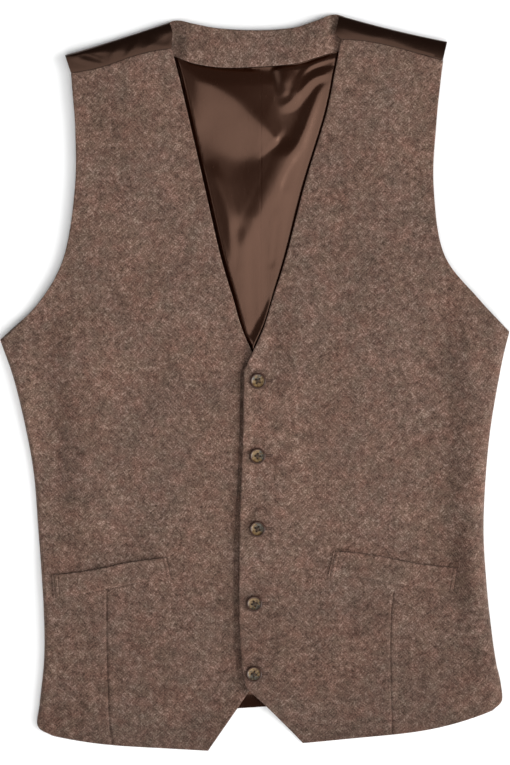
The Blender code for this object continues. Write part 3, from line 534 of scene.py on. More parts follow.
def smooth_step(low, high, value):
    """0 below low, 1 above high and a soft S between them."""
    part = np.clip((np.asarray(value, float) - low) / (high - low), 0.0, 1.0)
    return part * part * (3.0 - 2.0 * part)


def mix(first, second, part):
    """From first to second, by a part of the way."""
    return first + (second - first) * part


def bowed(part, bow, sway):
    """How far a line bends out at a part of its length, by a bow and an S."""
    return bow * (4.0 * part * (1.0 - part)) + sway * np.sin(2.0 * math.pi * part)


def curve(values, positions, corners=()):
    """Values at fractional row numbers, on a smooth curve that breaks at each corner row."""
    values = np.asarray(values, float)
    positions = np.asarray(positions, float)
    last = len(values) - 1
    first = np.clip(positions.astype(int), 0, last - 1)
    part = positions - first

    def slope(row, forward):
        here = values[row]
        before = values[np.maximum(row - 1, 0)]
        after = values[np.minimum(row + 1, last)]
        at_end = (row == 0) | (row == last) | np.isin(row, corners)
        return np.where(at_end, after - here if forward else here - before,
                        (after - before) / 2.0)

    square = part * part
    cube = square * part
    rise = values[first + 1] - values[first]
    return (values[first] + slope(first, True) * (part - 2.0 * square + cube)
            + rise * (3.0 * square - 2.0 * cube) + slope(first + 1, False) * (cube - square))


def column(rows, name, positions, corners=()):
    """One column of a table at fractional row numbers."""
    return curve([getattr(row, name) for row in rows], positions, corners)


def side_corner(rows):
    """Row number of the underarm, where the side seam meets the armhole."""
    return [row.station for row in rows].index("underarm")


def side_points(rows, positions):
    """X and Y along a front's side edge."""
    corners = (side_corner(rows),)
    return np.stack([column(rows, "side_x", positions, corners),
                     column(rows, "side_y", positions, corners)], axis=-1)


def edge_points(shape, positions):
    """X and Y along a front's centre edge."""
    return np.stack([column(shape.rows, "edge_x", positions, shape.corners),
                     column(shape.rows, "edge_y", positions, shape.corners)], axis=-1)


def neck_line(name, x):
    """A neck curve's Y at X."""
    places = [row.x for row in NECK_ROWS]
    return column(NECK_ROWS, name, np.interp(x, places, np.arange(len(places))))


def smooth_path(points, steps=8):
    """A rounded line through a crease's points."""
    count = len(points)
    positions = np.linspace(0.0, count - 1.0, (count - 1) * steps + 1)
    return np.stack([curve([point[axis] for point in points], positions)
                     for axis in (0, 1)], axis=-1)


def crease_height(crease, x, y):
    """A crease that falls off on its own width at each side and fades at both ends."""
    path = smooth_path(crease.path)
    starts, runs = path[:-1], np.diff(path, axis=0)
    lengths = np.hypot(runs[:, 0], runs[:, 1])
    travelled = np.concatenate([[0.0], np.cumsum(lengths)])
    nearest = np.full(x.shape, np.inf)
    side = np.zeros(x.shape)
    along = np.zeros(x.shape)
    for start, run, length, before in zip(starts, runs, lengths, travelled):
        to_x, to_y = x - start[0], y - start[1]
        part = np.clip((to_x * run[0] + to_y * run[1]) / length ** 2, 0.0, 1.0)
        gap = np.hypot(to_x - part * run[0], to_y - part * run[1])
        closer = gap < nearest
        nearest = np.where(closer, gap, nearest)
        side = np.where(closer, run[0] * to_y - run[1] * to_x, side)
        along = np.where(closer, (before + part * length) / travelled[-1], along)
    width = np.where(side > 0.0, crease.left_width, crease.right_width)
    rounded = np.sqrt((nearest / width) ** 2 + CREST_ROUND ** 2) - CREST_ROUND
    power = CREASE_POWER + CREASE_POWER_RISE * crease.roundness
    profile = (1.0 - np.clip(rounded, 0.0, 1.0) ** crease.roundness) ** power
    ends = smooth_step(0.0, crease.fade[0], along) * smooth_step(0.0, crease.fade[1], 1.0 - along)
    return crease.height * profile * ends


def creases_height(creases, x, y):
    """Ridges and troughs added up."""
    return sum(crease_height(crease, x, y) for crease in creases)


def sewn_depth(line, distance):
    """How deep a sewn line draws the cloth in at a distance from its edge or its seam."""
    return line.depth * np.exp(-((distance - line.place) / line.width) ** 2)


def soft_noise(x, y, size, seed):
    """Smooth noise from -1 to 1 with lumps of a size in millimetres."""
    flat = np.array([noise.noise(Vector((px / size, py / size, seed)))
                     for px, py in zip(x.ravel(), y.ravel())])
    return flat.reshape(x.shape)


def edge_closing(distance):
    """How much a face closes in at a distance from a free edge, on a quarter round."""
    reach = np.clip(1.0 - distance / EDGE_ROUND, 0.0, 1.0)
    return EDGE_FALL * (1.0 - np.sqrt(1.0 - reach ** 2))


def crowded_parts(length, count, extra=()):
    """Even parts of a length, crowded beside both of its ends."""
    near = {step / length for step in EDGE_STEPS + extra}
    return np.array(sorted(near | {1.0 - part for part in near}
                           | {step / count for step in range(2, count - 1)}))


# Fronts

def fine_positions(rows, spacing):
    """Fractional row numbers about a spacing apart, crowded at the first and the last row."""
    positions = []
    last = len(rows) - 1
    for number in range(last):
        here, after = rows[number], rows[number + 1]
        length = max(math.hypot(after.edge_x - here.edge_x, after.edge_y - here.edge_y),
                     math.hypot(after.side_x - here.side_x, after.side_y - here.side_y))
        steps = max(int(round(length / spacing)), 2)
        positions.extend(number + step / steps for step in range(steps))
        if number == 0:
            positions.extend(step / length for step in EDGE_STEPS[1:])
        if number == last - 1:
            positions.extend(last - step / length for step in EDGE_STEPS)
    return np.array(sorted(set(positions)))


def back_hem_y(x):
    """The back's lower edge, straight across the middle and falling to the side seams."""
    result = np.zeros(x.shape)
    for hem, rows, chosen in ((LEFT_BACK_ROWS[0], LEFT_FRONT_ROWS, x > CENTRE_SEAM_X),
                              (RIGHT_BACK_ROWS[0], RIGHT_FRONT_ROWS, x <= CENTRE_SEAM_X)):
        side_x, side_y = side_points(rows, hem.front_row)
        part = np.minimum((x - CENTRE_SEAM_X) / (side_x - CENTRE_SEAM_X), 1.0)
        result = np.where(chosen, mix(hem.inner_y, side_y, part), result)
    return result


def line_distance(line_y, line_x, start, along):
    """Where each section crosses a line, as a distance from the centre edge."""
    distance = (line_x[-1] - start[:, 0]) / along[:, 0]
    for _ in range(4):
        y = start[:, 1] + along[:, 1] * distance
        distance = (np.interp(y, line_y, line_x) - start[:, 0]) / along[:, 0]
    return distance


def front_columns(width, lap, dart, side_roll):
    """Distances from the centre edge, crowded at the edge, the lap, the dart and the roll."""
    rows = len(width)
    flat_end = width - side_roll
    groups = [np.tile(EDGE_STEPS, (rows, 1)), lap[:, None] + np.array(LAP_STEPS),
              dart[:, None] + np.array(GROOVE_STEPS), flat_end[:, None]]
    parts = []
    for group, after in zip(groups, groups[1:]):
        count = int(max(after[:, 0] - group[:, -1]) / FRONT_SPACING)
        between = np.linspace(0.0, 1.0, count + 1)[1:-1]
        parts += [group, mix(group[:, -1:], after[:, :1], between)]
    angles = np.radians(np.linspace(90.0, 0.0, ROLL_STEPS + 1))
    reach = side_roll * (1.0 - np.cos(angles))
    roll = width[:, None] - reach
    distances = np.concatenate(parts + [roll], axis=1)
    turn = np.full(distances.shape[1], math.pi / 2.0)
    turn[-len(angles):] = angles
    return distances, turn


def front_height(shape, positions, distance, width, x, y):
    """Height of a front's outer face before its edges are rounded."""
    edge_z, mid_z, side_z = (column(shape.rows, name, positions)[:, None]
                             for name in ("edge_z", "mid_z", "side_z"))
    near = 1.0 - smooth_step(LAP_WIDTH, LAP_WIDTH + LAP_BLEND, distance)
    far_start = SIDE_START * width[:, None]
    far_length = width[:, None] - shape.side_roll - far_start
    far = smooth_step(0.0, 1.0, (distance - far_start) / far_length)
    height = mid_z + (edge_z - mid_z) * near + (side_z - mid_z) * far
    height = height + creases_height(shape.creases, x, y)
    if shape.side == "right":
        height = height - LAP_GROOVE * lap_cover(x, y)
    else:
        lifted = smooth_step(*LAP_LIFT_HEM, y) * smooth_step(*LAP_LIFT_TOP, y)
        lifted = lifted * mix(LAP_LIFT_LOW, 1.0, smooth_step(*LAP_LIFT_WAIST, y))
        height = height + LAP_EDGE_LIFT * lifted * smooth_step(LAP_LIFT_WIDTH, 0.0, distance)
    height = height + FRONT_RIPPLE * soft_noise(x, y, FRONT_RIPPLE_SIZE, seed=2.0) * (1.0 - near)
    height = np.maximum(height, LOWEST_FRONT)
    return mix(height, HEM_TIP_Z, smooth_step(*HEM_DROP, back_hem_y(x) - y))


def lap_cover(x, y):
    """0 clear of the lapped edge and 1 from that edge on under the left front."""
    beyond = x - np.interp(y, *edge_line(LEFT_FRONT))
    ends = smooth_step(*LAP_GROOVE_HEM, y) * smooth_step(*LAP_GROOVE_TOP, y)
    reach = mix(*LAP_GROOVE_REACH, smooth_step(*LAP_GROOVE_HIP, y))
    return smooth_step(*LAP_GROOVE_START, beyond / reach) * ends


def edge_line(shape):
    """Y and X of a front's centre edge from its hem corner to its shoulder."""
    positions = np.linspace(1.0, len(shape.rows) - 1.0, 400)
    points = edge_points(shape, positions)
    return points[:, 1], points[:, 0]


def dart_groove(offset, y):
    """The sewn line of a dart, with the cloth slightly full on both sides."""
    uneven = 1.0 + 0.25 * np.sin(y / 3.1) * np.sin(y / 11.0)
    full = sewn_depth(DART_SWELL, np.abs(offset))
    return (full - sewn_depth(DART_LINE, offset) * uneven) * smooth_step(*DART_TOP, y)


def front_wall(shape):
    """Outer and inner grids of a front."""
    rows, last = shape.rows, float(len(shape.rows) - 1)
    positions = fine_positions(rows, FRONT_SPACING)
    start, end = edge_points(shape, positions), side_points(rows, positions)
    width = np.linalg.norm(end - start, axis=1)
    along = (end - start) / width[:, None]
    up = np.stack([-along[:, 1], along[:, 0]], axis=-1) * np.sign(along[:, :1])
    hem_part = np.maximum(1.0 - positions / HEM_BOW_ROWS, 0.0)[:, None] ** 2
    seam_part = np.maximum(1.0 - (last - positions) / SEAM_BOW_ROWS, 0.0)[:, None] ** 2
    dart = line_distance(*np.array(shape.dart)[::-1, ::-1].T, start, along)
    lap = np.clip(line_distance(*edge_line(LEFT_FRONT), start, along), *LAP_RANGE)
    distances, turn = front_columns(width, lap, dart, shape.side_roll)

    def place(distance):
        """X and Y at distances along the sections, bent at the hem and at the seam."""
        part = distance / width[:, None]
        bend = (seam_part * bowed(part, shape.shoulder.seam_bow, shape.shoulder.seam_sway)
                - hem_part * bowed(part, shape.hem.bow, -shape.hem.sway))
        point = start[:, None] + along[:, None] * distance[..., None] + up[:, None] * bend[..., None]
        return point[..., 0], point[..., 1]

    x, y = place(distances)
    height = front_height(shape, positions, distances, width, x, y)
    height = height + dart_groove(distances - dart[:, None], y)
    flat_columns = len(turn) - ROLL_STEPS
    height[:, flat_columns:] = height[:, flat_columns - 1:flat_columns]

    corner = side_corner(rows)
    roll = 1.0 - smooth_step(corner, corner + ARMHOLE_TURN, positions)[:, None]
    rolled = mix(1.0, np.sin(turn)[None, :], roll)
    to_side = width[:, None] - distances
    to_hem = np.hypot(x - x[:1], y - y[:1])
    to_seam = np.hypot(x - x[-1:], y - y[-1:])
    closing = np.maximum.reduce([edge_closing(distances), edge_closing(to_side) * (1.0 - roll),
                                 edge_closing(to_hem), SEAM_CLOSING * edge_closing(to_seam)])
    outer_z = (height - closing) * rolled
    inner_z = np.maximum(height - FRONT_WALL + closing, LOWEST_UNDERSIDE) * rolled
    into_x, into_y = place(distances - roll * FRONT_WALL * np.cos(turn)[None, :])
    return np.stack([x, y, outer_z], axis=-1), np.stack([into_x, into_y, inner_z], axis=-1)


# Back, lining and shoulder strips

def half_sign(rows):
    """+1 for the wearer's left half, which lies at +X."""
    return 1.0 if rows[-1].inner_x > 0.0 else -1.0


def layer_positions(rows, spacing):
    """Fractional row numbers of a back or lining half, about a spacing apart."""
    heights = [neck_line("bottom_y", row.inner_x) if row.inner_y is None else row.inner_y
               for row in rows]
    positions = []
    for number in range(len(rows) - 1):
        length = math.hypot(rows[number + 1].inner_x - rows[number].inner_x,
                            heights[number + 1] - heights[number])
        steps = max(int(round(length / spacing)), 2)
        positions.extend(number + step / steps for step in range(steps))
    return np.array(positions + [len(rows) - 1.0])


def layer_plan(rows, front_rows, inset, seam, neck_gap, spread, spacing):
    """X and Y of a flat half, from its inner edge to its side edge."""
    sign = half_sign(rows)
    positions = layer_positions(rows, spacing)
    inner_x = column(rows, "inner_x", positions, (BACK_CORNER,))
    inner_x = inner_x + np.where(positions <= BACK_CORNER, sign * seam / 2.0, 0.0)
    heights = [neck_line("bottom_y", row.inner_x) - neck_gap if row.inner_y is None
               else row.inner_y for row in rows]
    inner_y = curve(heights, positions, (BACK_CORNER,))
    if rows[BACK_CORNER].inner_y is None:
        along_band = neck_line("bottom_y", inner_x) - neck_gap
        inner_y = np.where(positions >= BACK_CORNER, along_band, inner_y)
    side = side_points(front_rows, column(rows, "front_row", positions))
    side[:, 0] -= sign * inset
    part = np.linspace(0.0, 1.0, LAYER_COLUMNS + 1) ** spread
    return mix(inner_x[:, None], side[:, :1], part), mix(inner_y[:, None], side[:, 1:], part)


def square_to(run):
    """The direction up the garment that is square to a run across it."""
    return np.array((-run[1], run[0])) * np.sign(run[0]) / np.linalg.norm(run)


def strip_sections(shape):
    """Grids round a shoulder fold and forward to the shoulder seam."""
    shoulder, last = shape.shoulder, float(len(shape.rows) - 1)
    neck = np.array((shoulder.neck_x, shoulder.neck_y))
    tip = np.array((shoulder.tip_x, shoulder.tip_y))
    up = square_to(tip - neck)
    seam_neck = edge_points(shape, last) + up * SEAM_GAP
    seam_tip = side_points(shape.rows, last) + up * SEAM_GAP
    part = np.linspace(0.0, 1.0, LAYER_COLUMNS + 1)[:, None]
    crest = mix(neck, tip, part) + up * bowed(part, shoulder.bow, 0.0)
    seam_bend = bowed(part, shoulder.seam_bow, shoulder.seam_sway)
    seam = mix(seam_neck, seam_tip, part) + square_to(seam_tip - seam_neck) * seam_bend
    outer, inner = [], []
    for angle in np.linspace(0.0, math.pi, FOLD_STEPS + 1):
        reach = curve(shoulder.falls, 4.0 * part) if angle > math.pi / 2.0 else FOLD_RADIUS
        point = crest + up * reach * (math.sin(angle) - 1.0)
        pulls = creases_height(STRIP_CREASES, *point.T) * max(-math.cos(angle), 0.0)
        rise = FOLD_RADIUS * (1.0 - math.cos(angle)) + pulls
        outer.append(np.column_stack([point, rise]))
        inner.append(np.column_stack([point - up * (BACK_WALL * math.sin(angle)),
                                      rise + BACK_WALL * math.cos(angle)]))
    top = outer[-1][:, :2]
    for forward in np.linspace(0.0, 1.0, STRIP_STEPS + 1)[1:]:
        point = mix(top, seam, forward)
        to_seam = np.linalg.norm(point - seam, axis=1)
        face = (2.0 * FOLD_RADIUS - SEAM_DIP * forward ** 2 - STRIP_SLOPE * forward
                + creases_height(STRIP_CREASES, *point.T) - sewn_depth(STRIP_SEAM_LINE, to_seam))
        outer.append(np.column_stack([point, face]))
        inner.append(np.column_stack([point, face - BACK_WALL]))
    return np.array(outer), np.array(inner)


def back_wall(rows, shape):
    """Lower and upper grids of a back half, which run on round its shoulder fold."""
    x, y = layer_plan(rows, shape.rows, BACK_INSET, SEAM_GAP, 0.0, 1.0, LAYER_SPACING)
    lower = np.stack([x, y, np.zeros(x.shape)], axis=-1)
    upper = np.stack([x, y, np.full(x.shape, BACK_WALL)], axis=-1)
    outer, inner = strip_sections(shape)
    return np.concatenate([lower, outer]), np.concatenate([upper, inner])


def lining_lift(x, y):
    """How high the lining lies above flat: its folds in the V, fading under the fronts."""
    from_right = x - np.interp(y, *edge_line(RIGHT_FRONT))
    from_left = np.interp(y, *edge_line(LEFT_FRONT)) - x
    folds = [np.exp(crease_height(crease, x, y) / FOLD_BLEND) for crease in LINING_FOLDS]
    total = LINING_BASE + FOLD_BLEND * np.log(np.sum(folds, axis=0) / len(folds))
    total = total + creases_height(LINING_CREASES, x, y)
    total = total + LINING_RIPPLE * soft_noise(x, y, LINING_RIPPLE_SIZE, seed=9.0)
    limit = mix(LINING_EDGE_LIMIT, LINING_MID_LIMIT,
                smooth_step(*V_SWELL, np.minimum(from_right, from_left)))
    limit = limit + LINING_TIP_LIMIT * (1.0 - smooth_step(*V_TIP, y))
    total = -LIMIT_BLEND * np.log(np.exp(-total / LIMIT_BLEND) + np.exp(-limit / LIMIT_BLEND))
    total = np.maximum(total, 0.0) * smooth_step(*V_DIP, from_right)
    total = total * smooth_step(*V_LEFT_DIP, from_left) * smooth_step(*V_BOTTOM_FADE, y)
    seam = sewn_depth(LINING_SEAM_LINE, x - CENTRE_SEAM_X)
    return total - np.minimum(seam, total) + crease_height(HEM_CURL, x, y)


def lining_wall(rows, front_rows):
    """Lower and upper grids of a lining half."""
    x, y = layer_plan(rows, front_rows, LINING_INSET, LINING_SEAM, SEAM_GAP, LINING_SPREAD,
                      LINING_SPACING)
    bottom = BACK_WALL + SEAM_GAP + lining_lift(x, y)
    return np.stack([x, y, bottom], axis=-1), np.stack([x, y, bottom + LINING_WALL], axis=-1)


def band_wall():
    """The neck band, whose ends pass under the shoulders."""
    across = crowded_parts(BAND_DEPTH, BAND_ROWS)[:, None]
    first, last = (mix(low, high, across) for low, high in zip(BAND_BOTTOM_ENDS, BAND_TOP_ENDS))
    x = mix(first, last, np.linspace(0.0, 1.0, BAND_COLUMNS + 1))
    y = mix(neck_line("bottom_y", x), neck_line("top_y", x), across)
    to_end = np.minimum(x - first, last - x)
    to_edge = np.minimum(across, 1.0 - across) * BAND_DEPTH
    lift = mix(*BAND_LIFT, across ** BAND_LIFT_POWER)
    bottom = BACK_WALL + SEAM_GAP + lift * smooth_step(*BAND_FALL, to_end)
    closing = edge_closing(to_edge) * BAND_CLOSING
    crown = BAND_CROWN * np.sin(math.pi * across)
    crown = crown + BAND_RIPPLE * soft_noise(x, y, BAND_RIPPLE_SIZE, seed=5.0)
    crown = crown * smooth_step(0.0, 2.0 * EDGE_ROUND, to_edge)
    return (np.stack([x, y, bottom + UNDER_CLOSING * closing], axis=-1),
            np.stack([x, y, bottom + BAND_WALL + crown - closing], axis=-1))


# Meshes

def grid_cells(rows, columns):
    """Numbers of a grid's points, and its four-sided cells."""
    number = np.arange(rows * columns).reshape(rows, columns)
    cells = np.stack([number[:-1, :-1], number[:-1, 1:], number[1:, 1:], number[1:, :-1]], axis=-1)
    return number, cells.reshape(-1, 4)


def wall_mesh(name, outer, inner):
    """A closed cloth wall from two grids of points."""
    rows, columns = outer.shape[:2]
    count = rows * columns
    points = np.concatenate([outer.reshape(-1, 3), inner.reshape(-1, 3)]) * MM
    number, cells = grid_cells(rows, columns)
    ring = np.concatenate([number[0, :-1], number[:-1, -1], number[-1, :0:-1], number[:0:-1, 0]])
    after = np.roll(ring, -1)
    rim = np.stack([after, ring, ring + count, after + count], axis=-1)
    faces = np.concatenate([cells, cells[:, ::-1] + count, rim])
    middle = outer[rows // 2:rows // 2 + 2, columns // 2:columns // 2 + 2]
    normal = np.cross(middle[0, 1] - middle[0, 0], middle[1, 0] - middle[0, 0])
    away = outer[rows // 2, columns // 2] - inner[rows // 2, columns // 2]
    if np.dot(normal, away) < 0.0:
        faces = faces[:, ::-1]
    mesh = bpy.data.meshes.new(name)
    mesh.from_pydata(points.tolist(), [], faces.tolist())
    mesh.shade_smooth()
    mesh.set_sharp_from_angle(angle=math.radians(WALL_SHARP_ANGLE))
    return mesh


def add_piece(name, mesh, material, replaced=()):
    """Puts a mesh in the scene as a piece of the waistcoat."""
    mesh.materials.append(material)
    piece = bpy.data.objects.new(name, mesh)
    bpy.context.scene.collection.objects.link(piece)
    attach(piece, "root")
    if replaced:
        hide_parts(*replaced)
    return piece


def surface_of(grid):
    """A tree of a face's points, in millimetres, to lay other pieces on."""
    cells = grid_cells(*grid.shape[:2])[1]
    return BVHTree.FromPolygons(grid.reshape(-1, 3).tolist(), cells.tolist())


def height_on(surface, x, y):
    """Height of a surface at X and Y."""
    return surface.ray_cast(Vector((x, y, ABOVE_ALL)), Vector((0.0, 0.0, -1.0)))[0].z


def raised(surface, x, y, lift):
    """A point above a surface."""
    return x, y, height_on(surface, x, y) + lift


def welt_wall(corners, surface):
    """A welt on its front: free along its top, sewn down along its foot and its ends."""
    across = crowded_parts(WELT_DEPTH, WELT_ROWS)
    along = crowded_parts(WELT_LENGTH, WELT_COLUMNS, WELT_ROW_STEPS)
    top_outer, top_inner, bottom_inner, bottom_outer = [np.array((c.x, c.y)) for c in corners]
    foot = mix(bottom_outer, bottom_inner, along[:, None])
    top = mix(top_outer, top_inner, along[:, None])
    plan = mix(foot[None], top[None], across[:, None, None])
    x, y = plan[..., 0], plan[..., 1] + bowed(along, 0.0, WELT_SWAY)[None, :]
    base = np.array([[height_on(surface, px, py) for px, py in zip(line_x, line_y)]
                     for line_x, line_y in zip(x, y)]) + SEAM_GAP
    to_top = (1.0 - across)[:, None] * WELT_DEPTH
    to_foot = across[:, None] * WELT_DEPTH
    to_end = np.minimum(along, 1.0 - along)[None, :] * WELT_LENGTH
    closing = np.maximum(edge_closing(to_top), edge_closing(to_end))
    sunk = WELT_SINK * (1.0 - smooth_step(0.0, WELT_SINK_WIDTH, to_foot))
    middle = smooth_step(*WELT_FOOT_START, along) * smooth_step(*WELT_FOOT_END, along)
    stitched = np.maximum(sewn_depth(WELT_END_LINE, to_end) + sewn_depth(WELT_ROW_LINE, to_end),
                          sewn_depth(WELT_FOOT_LINE, to_foot) * middle)
    lifted = WELT_LIFT * smooth_step(*WELT_LIFT_TOP, to_top) * smooth_step(*WELT_LIFT_END, to_end)
    face = base + WELT_WALL - np.maximum(closing, sunk) - stitched + lifted
    under = base + UNDER_CLOSING * closing + WELT_UNDER_LIFT * lifted
    return np.stack([x, y, face], axis=-1), np.stack([x, y, under], axis=-1)


# Small round pieces

def bridge_rings(shape, rings):
    """Joins each ring of points to the next."""
    count = len(rings[0])
    for low, high in zip(rings, rings[1:]):
        for number in range(count):
            after = (number + 1) % count
            shape.faces.new((low[number], low[after], high[after], high[number]))


def tube(shape, points, radius, sides=6):
    """A closed round tube along points, in millimetres, with narrower ends."""
    points = [Vector(point) for point in points]
    rings = []
    for number, point in enumerate(points):
        before = points[max(number - 1, 0)]
        after = points[min(number + 1, len(points) - 1)]
        forward = (after - before).normalized()
        aside = forward.orthogonal().normalized()
        if abs(forward.z) < STEEP:
            aside = forward.cross(UP).normalized()
        other = forward.cross(aside)
        ends = number in (0, len(points) - 1)
        size = radius * (TUBE_END if ends else 1.0)
        angles = [2.0 * math.pi * side / sides for side in range(sides)]
        rings.append([shape.verts.new(
            (point + (aside * math.cos(angle) + other * math.sin(angle)) * size) * MM)
            for angle in angles])
    bridge_rings(shape, rings)
    shape.faces.new(rings[0][::-1])
    shape.faces.new(rings[-1])


def finished_mesh(shape, name):
    """A smooth mesh from a bmesh, which is used up."""
    bmesh.ops.recalc_face_normals(shape, faces=shape.faces)
    mesh = bpy.data.meshes.new(name)
    shape.to_mesh(mesh)
    shape.free()
    mesh.shade_smooth()
    return mesh


def button_blank():
    """A dished button with a rounded rim, turned from its profile."""
    last = len(BUTTON_PROFILE) - 1
    positions = np.linspace(0.0, last, last * PROFILE_STEPS + 1)
    radii = column(BUTTON_PROFILE, "radius", positions)
    heights = column(BUTTON_PROFILE, "z", positions)
    angles = np.linspace(0.0, 2.0 * math.pi, BUTTON_SEGMENTS + 1)[:-1]
    shape = bmesh.new()
    rings = [[shape.verts.new(Vector((radius * math.cos(angle), radius * math.sin(angle),
                                      height)) * MM) for angle in angles]
             for radius, height in zip(radii, heights)]
    bridge_rings(shape, rings)
    shape.faces.new(rings[0])
    shape.faces.new(rings[-1])
    return finished_mesh(shape, "button_blank")


def hole_cutter():
    """Four round pins that stand where a button's holes go."""
    shape = bmesh.new()
    for side_x in (-1.0, 1.0):
        for side_y in (-1.0, 1.0):
            made = bmesh.ops.create_cone(shape, cap_ends=True, segments=HOLE_SEGMENTS,
                                         radius1=HOLE_RADIUS * MM, radius2=HOLE_RADIUS * MM,
                                         depth=HOLE_PIN_LENGTH * MM)
            bmesh.ops.translate(shape, verts=made["verts"],
                                vec=Vector((side_x, side_y, 0.0)) * HOLE_OFFSET * MM)
    return finished_mesh(shape, "hole_cutter")


def button_mesh():
    """The blank with its four thread holes cut through."""
    body = bpy.data.objects.new("button_blank", button_blank())
    cutter = bpy.data.objects.new("hole_cutter", hole_cutter())
    for obj in (body, cutter):
        bpy.context.scene.collection.objects.link(obj)
    cut = body.modifiers.new("holes", "BOOLEAN")
    cut.operation = "DIFFERENCE"
    cut.object = cutter
    graph = bpy.context.evaluated_depsgraph_get()
    mesh = bpy.data.meshes.new_from_object(body.evaluated_get(graph))
    for obj in (body, cutter):
        bpy.data.objects.remove(obj, do_unlink=True)
    mesh.shade_smooth()
    mesh.set_sharp_from_angle(angle=math.radians(BUTTON_SHARP_ANGLE))
    return mesh


def thread_mesh(turn):
    """Sewing thread that crosses over the button's four holes and goes down to the cloth."""
    shape = bmesh.new()
    for first, second in (((-1, -1), (1, 1)), ((1, -1), (-1, 1))):
        start = Vector((*first, 0.0)) * HOLE_OFFSET
        end = Vector((*second, 0.0)) * HOLE_OFFSET
        aside = (end - start).normalized().cross(UP)
        over = THREAD_OVER if first[0] > 0 else 0.0
        for strand in (-THREAD_SPREAD, THREAD_SPREAD):
            heights = [THREAD_FOOT_Z, BUTTON_FLOOR_Z - THREAD_RADIUS]
            route = [(0.0, height) for height in heights]
            route += [(part, BUTTON_FLOOR_Z + (THREAD_LIFT + THREAD_ARCH * math.sin(math.pi * part)
                                               + over)) for part in THREAD_PARTS]
            route += [(1.0, height) for height in heights[::-1]]
            tube(shape, [start.lerp(end, part) + aside * strand + UP * height
                         for part, height in route], THREAD_RADIUS)
    mesh = finished_mesh(shape, "button_thread")
    mesh.transform(Matrix.Rotation(math.radians(turn), 4, "Z"))
    return mesh


def buttonhole_mesh(place, surface):
    """Stitches on both sides of a buttonhole and a bar across its inner end."""
    shape = bmesh.new()
    start_x, end_x = (place.x + end for end in BUTTONHOLE_ENDS)
    for number, x in enumerate(np.arange(start_x, end_x, BUTTONHOLE_PITCH)):
        for side in (-1.0, 1.0):
            reach = BUTTONHOLE_REACH + BUTTONHOLE_UNEVEN * math.sin(5.3 * number + side)
            tube(shape, [raised(surface, x, place.y + side * reach * part,
                                0.04 + 0.14 * math.sin(math.pi * part))
                         for part in (0.18, 0.5, 0.8, 1.0)], BUTTONHOLE_THREAD)
    for offset in BUTTONHOLE_BARS:
        tube(shape, [raised(surface, end_x + offset, place.y + BUTTONHOLE_BAR_REACH * part,
                            0.1 + 0.25 * (1.0 - part * part))
                     for part in np.linspace(-1.0, 1.0, 6)], BUTTONHOLE_THREAD)
    return finished_mesh(shape, f"{place.name}_hole")


def welt_stitches(corners, outer, name):
    """Running stitches across a welt, just inside both of its ends."""
    surface = surface_of(outer)
    top_outer, top_inner, bottom_inner, bottom_outer = [Vector((c.x, c.y, 0.0)) for c in corners]
    shape = bmesh.new()
    for part in (1.0 / WELT_LENGTH, 1.0 - 1.0 / WELT_LENGTH):
        foot = bottom_outer.lerp(bottom_inner, part)
        top = top_outer.lerp(top_inner, part)
        sway = bowed(part, 0.0, WELT_SWAY)
        for number in range(WELT_STITCHES):
            points = []
            for step in (0.0, 0.3, 0.7, 1.0):
                spot = foot.lerp(top, WELT_STITCH_START + number * WELT_STITCH_PITCH
                                 + WELT_STITCH_LENGTH * step)
                points.append(raised(surface, spot.x, spot.y + sway,
                                     0.02 + 0.1 * math.sin(math.pi * step)))
            tube(shape, points, THREAD_RADIUS)
    return finished_mesh(shape, name)


# Materials

def new_material(name):
    """An empty node tree with one Principled shader; returns the material and both."""
    material = bpy.data.materials.new(name)
    material.use_nodes = True
    tree = material.node_tree
    tree.nodes.clear()
    output = tree.nodes.new("ShaderNodeOutputMaterial")
    shader = tree.nodes.new("ShaderNodeBsdfPrincipled")
    tree.links.new(shader.outputs["BSDF"], output.inputs["Surface"])
    return material, tree, shader


def fill_sockets(tree, sockets, values):
    """Sets each socket to its value, or links it to the socket that is given."""
    for key, value in values.items():
        if isinstance(value, bpy.types.NodeSocket):
            tree.links.new(value, sockets[key])
        else:
            sockets[key].default_value = value


def add_node(tree, kind, inputs=None, **settings):
    """A node with its settings, and each input given as a value or a socket to link."""
    made = tree.nodes.new(kind)
    for name, value in settings.items():
        setattr(made, name, value)
    fill_sockets(tree, made.inputs, inputs or {})
    return made


def math_node(tree, operation, first, second=0.0, third=0.0):
    """A sum, a product or the like of numbers."""
    return add_node(tree, "ShaderNodeMath", {0: first, 1: second, 2: third},
                    operation=operation).outputs[0]


def vector_node(tree, operation, first, second=(0.0, 0.0, 0.0)):
    """A sum, a product or the like of vectors; a dot product and a length give a number."""
    made = add_node(tree, "ShaderNodeVectorMath", {0: first, 1: second}, operation=operation)
    return made.outputs["Value" if operation in ("DOT_PRODUCT", "LENGTH") else "Vector"]


def mix_colors(tree, factor, first, second, mode="MIX"):
    """Two colours mixed by a factor, or the first one multiplied by the second."""
    return add_node(tree, "ShaderNodeMix", {0: factor, 6: first, 7: second},
                    data_type="RGBA", blend_type=mode).outputs[2]


def millimetres(tree, stretch=(1.0, 1.0, 1.0)):
    """Object coordinates in millimetres, stretched or squeezed along each axis."""
    coordinates = add_node(tree, "ShaderNodeTexCoord").outputs["Object"]
    return vector_node(tree, "MULTIPLY", coordinates, tuple(value / MM for value in stretch))


def bump_node(tree, strength, distance, height):
    """A normal tilted by a height, with its relief in metres."""
    return add_node(tree, "ShaderNodeBump", {"Strength": strength, "Distance": distance,
                                             "Height": height}).outputs[0]


def noise_node(tree, vector, size, detail=2.0, roughness=0.5):
    """Noise whose lumps are about a size in millimetres."""
    return add_node(tree, "ShaderNodeTexNoise",
                    {"Vector": vector, "Scale": 1.0 / size, "Detail": detail,
                     "Roughness": roughness}).outputs["Fac"]


